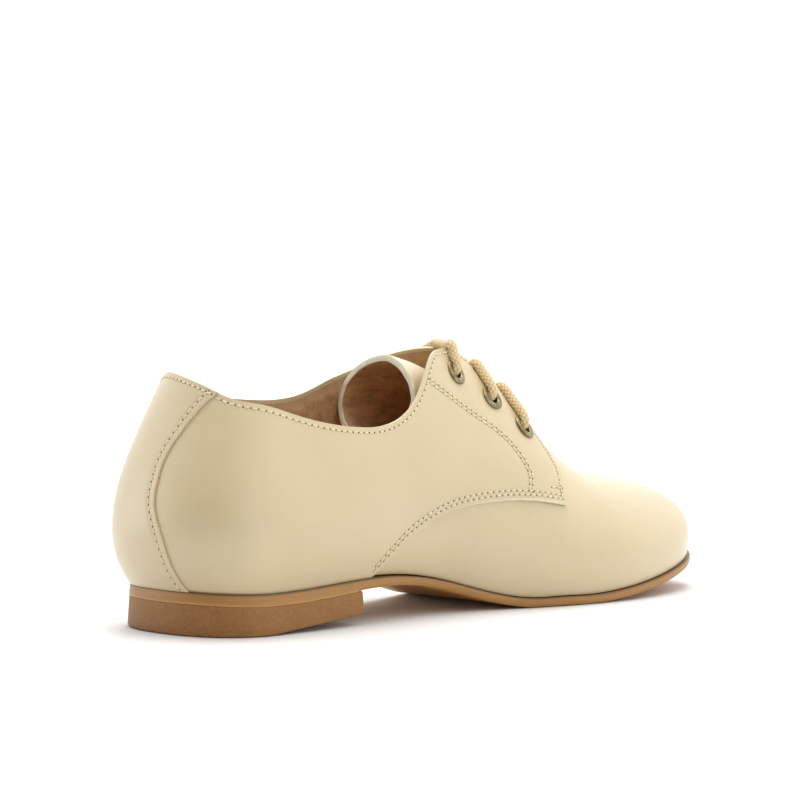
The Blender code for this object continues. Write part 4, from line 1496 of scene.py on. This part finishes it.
class BLUCHER_OT_stitching(bpy.types.Operator):
    """Thread and needle holes of every seam"""
    bl_idname = "blucher.stitching"
    bl_label = "Stitching"
    rings, sides, hole_sides = 9, 8, 10
    slant = math.radians(5)
    thin, middle_high, ends_low = 0.35, 0.18, 0.42     # a stitch thins and dives at its ends
    twist, twist_turns = 0.10, 5
    hole_rim, hole_middle = 0.05, 0.02                 # heights over the leather
    reach = 2.0          # how far over the leather its surface is looked for
    clear = 1.1          # how far from the back strip the quarters' rows stop

    def stitch(self, sizes):
        """One stitch: along the row, across it and up; with its faces."""
        share = np.linspace(-1, 1, self.rings)[:, None]
        turn = np.linspace(0, 2 * math.pi, self.sides, endpoint=False)
        radius = sizes.thread / 2 * (1 - self.thin * share ** 4)
        radius = radius * (1 + self.twist * np.cos(2 * (turn[None] + self.twist_turns * share)))
        rise = self.middle_high - self.ends_low * np.abs(share) ** 3
        along_row = np.broadcast_to(share * sizes.stitch / 2, radius.shape)
        across, up = radius * np.cos(turn), radius * np.sin(turn) + rise
        cos, sin = math.cos(self.slant), math.sin(self.slant)
        points = np.stack([along_row * cos - across * sin, along_row * sin + across * cos, up], -1)
        ring, j = np.meshgrid(np.arange(self.rings - 1) * self.sides, np.arange(self.sides), indexing="ij")
        k, after = (j + 1) % self.sides, ring + self.sides
        faces = np.stack([ring + k, ring + j, after + j, after + k], -1).reshape(-1, 4).tolist()
        end = self.rings * self.sides - 1
        caps = [list(range(self.sides)), list(range(end, end - self.sides, -1))]
        return points.reshape(-1, 3), faces + caps

    def hole(self, sizes):
        """One needle hole: a small dished disc that carries the painted shade of the hole."""
        turn = np.linspace(0, 2 * math.pi, self.hole_sides, endpoint=False)
        ring = np.column_stack([np.cos(turn), np.sin(turn)]) * sizes.needle / 2
        points = np.column_stack([ring, np.full(len(turn), self.hole_rim)])
        points = np.concatenate([points, [[0, 0, self.hole_middle]]])
        centre = self.hole_sides
        return points, [(j, (j + 1) % self.hole_sides, centre) for j in range(self.hole_sides)]

    def sown(self, name, pattern, frames, material):
        """Many copies of a small shape in one mesh; a frame is a place, a direction and a normal."""
        points, faces = pattern
        every, copies = [], []
        for number, (place, tangent, normal) in enumerate(frames):
            axes = np.stack([tangent, np.cross(normal, tangent), normal])
            every.append(place + points @ axes)
            copies += [[number * len(points) + i for i in face] for face in faces]
        mesh = bpy.data.meshes.new(name)
        mesh.from_pydata(to_frame(np.concatenate(every)).tolist(), [], copies)
        piece = bpy.data.objects.new(name, mesh)
        bpy.context.collection.objects.link(piece)
        dress(piece, material)
        shade(piece, 70)
        settle(piece, "cream_leather")

    def spread(self, places, normals, pitch):
        """Frames of stitches along a row, and of the holes between them."""
        run, tangents = run_length(places), np.gradient(places, axis=0)
        count = max(1, round(run[-1] / pitch))
        frames = []
        for at in (np.linspace(0, run[-1], 2 * count + 1)[1::2], np.linspace(0, run[-1], count + 1)):
            normal, tangent = unit(along(normals, run, at)), along(tangents, run, at)
            tangent = unit(tangent - normal * (tangent * normal).sum(-1, keepdims=True))
            frames.append(list(zip(along(places, run, at), tangent, normal)))
        return frames

    def laid_on(self, piece, places, normals):
        """Places moved along their normals to the outside of a piece."""
        found = []
        bpy.context.view_layer.update()
        for place, normal in zip(to_frame(places + normals * self.reach), normals):
            hit, at, _, _ = piece.ray_cast(Vector(place), -Vector(normal), distance=3 * self.reach * MM)
            found.append(at if hit else Vector(place - normal * self.reach * MM))
        return to_last(np.array(found))

    def clear_of_strip(self, frames):
        """Leave out what the back strip covers."""
        covered = strip_lines(np.linspace(0, 1, 60), 0.0, np.linspace(0, 1, 50)).reshape(-1, 3)
        away = row_distance(np.array([place for place, _, _ in frames]), [covered])
        return [one for one, distance in zip(frames, away) if distance > self.clear]

    def execute(self, context):
        sizes, colours = settings(context)
        strip = bpy.data.objects["strip_leather"]
        rows = {}
        for word, side in SIDES.items():
            quarter = bpy.data.objects[f"quarter_{word}"]
            rows[word] = []
            for x, up in (line.T for line in sewn_lines(side, sizes)):
                normals = last_normal(x, side, up)
                places = on_last(x, side, up, sizes.quarter_lift)
                rows[word].append((self.laid_on(quarter, places, normals), normals))
        rows["back"] = [(self.laid_on(strip, *row), row[1]) for row in strip_rows(sizes)]
        for word, lines in rows.items():
            spread = [self.spread(*line, sizes.stitch_pitch) for line in lines]
            stitches, holes = [sum(frames, []) for frames in zip(*spread)]
            if word != "back":
                stitches, holes = self.clear_of_strip(stitches), self.clear_of_strip(holes)
            self.sown(f"stitches_{word}", self.stitch(sizes), stitches, thread(colours))
            # Dark discs of painted shade where the needle holes are.
            self.sown(f"needle_holes_{word}", self.hole(sizes), holes, needle_hole_shade(colours))
        return {"FINISHED"}


class BLUCHER_OT_stage(bpy.types.Operator):
    """Pale floor, soft studio light and the photograph's camera"""
    bl_idname = "blucher.stage"
    bl_label = "Stage"
    floor_size, floor_drop = 30.0, 0.0002
    lights = (      # name, place, size, energy in watts
        ("overhead", (0.15, 0.10, 1.20), 0.8, 8.0),
        ("left_side", (-0.75, 0.95, 0.16), 0.5, 1.5),
        ("behind", (0.80, 0.85, 0.95), 0.6, 6.0))
    aim = (0, 0, 0.03)
    sky, camera_side = 1.29, 0.04      # strength of the white surroundings, and of their dark side
    dark_turn = 11.0                   # the dark side is behind the camera's left
    dark_cone = (0.34, 0.95)           # it starts and is full at these cosines

    def floor(self):
        deselect()
        bpy.ops.mesh.primitive_plane_add(size=self.floor_size, location=(0, 0, -self.floor_drop))
        bpy.ops.object.transform_apply(location=True, rotation=False, scale=False)
        floor = bpy.context.object
        floor.name = "floor"
        dress(floor, studio_floor())

    def world(self, context):
        world = bpy.data.worlds.new("studio")
        nodes = Nodes(world)
        turn = math.radians(self.dark_turn)
        direction = nodes.add("ShaderNodeTexCoord", {}).outputs["Generated"]
        facing = nodes.add("ShaderNodeVectorMath", {
            0: direction, 1: (-math.cos(turn), -math.sin(turn), 0.0)}, operation="DOT_PRODUCT")
        strength = nodes.add("ShaderNodeMapRange", {
            "Value": facing.outputs["Value"], "From Min": self.dark_cone[0],
            "From Max": self.dark_cone[1], "To Min": self.sky, "To Max": self.camera_side},
            interpolation_type="SMOOTHSTEP")
        nodes.fill(nodes.tree.nodes["Background"], {
            "Color": (1, 1, 1, 1), "Strength": strength.outputs["Result"]})
        context.scene.world = world
        context.scene.view_settings.view_transform = "Standard"

    def camera(self, context):
        camera = bpy.data.objects.new("camera", bpy.data.cameras.new("camera"))
        camera.data.sensor_width = SENSOR
        camera.data.lens = SENSOR * CAMERA_FOCAL
        camera.location = to_frame(CAMERA_PLACE)
        turn, dip = math.radians(CAMERA_TURN), math.radians(CAMERA_DIP)
        forward = Vector((math.cos(turn) * math.cos(dip), math.sin(turn) * math.cos(dip), -math.sin(dip)))
        camera.rotation_euler = forward.to_track_quat("-Z", "Y").to_euler()
        context.collection.objects.link(camera)
        context.scene.camera = camera

    def execute(self, context):
        self.floor()
        for name, place, size, energy in self.lights:
            light = bpy.data.objects.new(name, bpy.data.lights.new(name, "AREA"))
            light.data.size = size
            light.data.energy = energy
            light.location = place
            beam = Vector(self.aim) - Vector(place)
            light.rotation_euler = beam.to_track_quat("-Z", "Y").to_euler()
            context.collection.objects.link(light)
        self.world(context)
        self.camera(context)
        return {"FINISHED"}


PIECES = (
    BLUCHER_OT_sole, BLUCHER_OT_heel, BLUCHER_OT_sock, BLUCHER_OT_vamp, BLUCHER_OT_quarters,
    BLUCHER_OT_lining, BLUCHER_OT_back_strip, BLUCHER_OT_tongue, BLUCHER_OT_eyelets,
    BLUCHER_OT_lace, BLUCHER_OT_stitching, BLUCHER_OT_stage)


class BLUCHER_PT_panel(bpy.types.Panel):
    """Lists the shoe's pieces and settings"""
    bl_idname = "BLUCHER_PT_panel"
    bl_label = "Blucher"
    bl_space_type = "VIEW_3D"
    bl_region_type = "UI"
    bl_category = "Blucher"

    def draw(self, context):
        for piece in PIECES:
            self.layout.operator(piece.bl_idname)
        for group in (context.scene.blucher_sizes, context.scene.blucher_colours):
            box = self.layout.box()
            for name in type(group).__annotations__:
                box.prop(group, name)


CLASSES = (BlucherSizes, BlucherColours, *PIECES, BLUCHER_PT_panel)


def register():
    for cls in CLASSES:
        bpy.utils.register_class(cls)
    bpy.types.Scene.blucher_sizes = PointerProperty(type=BlucherSizes)
    bpy.types.Scene.blucher_colours = PointerProperty(type=BlucherColours)


def unregister():
    del bpy.types.Scene.blucher_colours
    del bpy.types.Scene.blucher_sizes
    for cls in reversed(CLASSES):
        bpy.utils.unregister_class(cls)


def main():
    register()
    for piece in PIECES:
        group, name = piece.bl_idname.split(".")
        getattr(getattr(bpy.ops, group), name)()


if __name__ == "__main__":
    main()
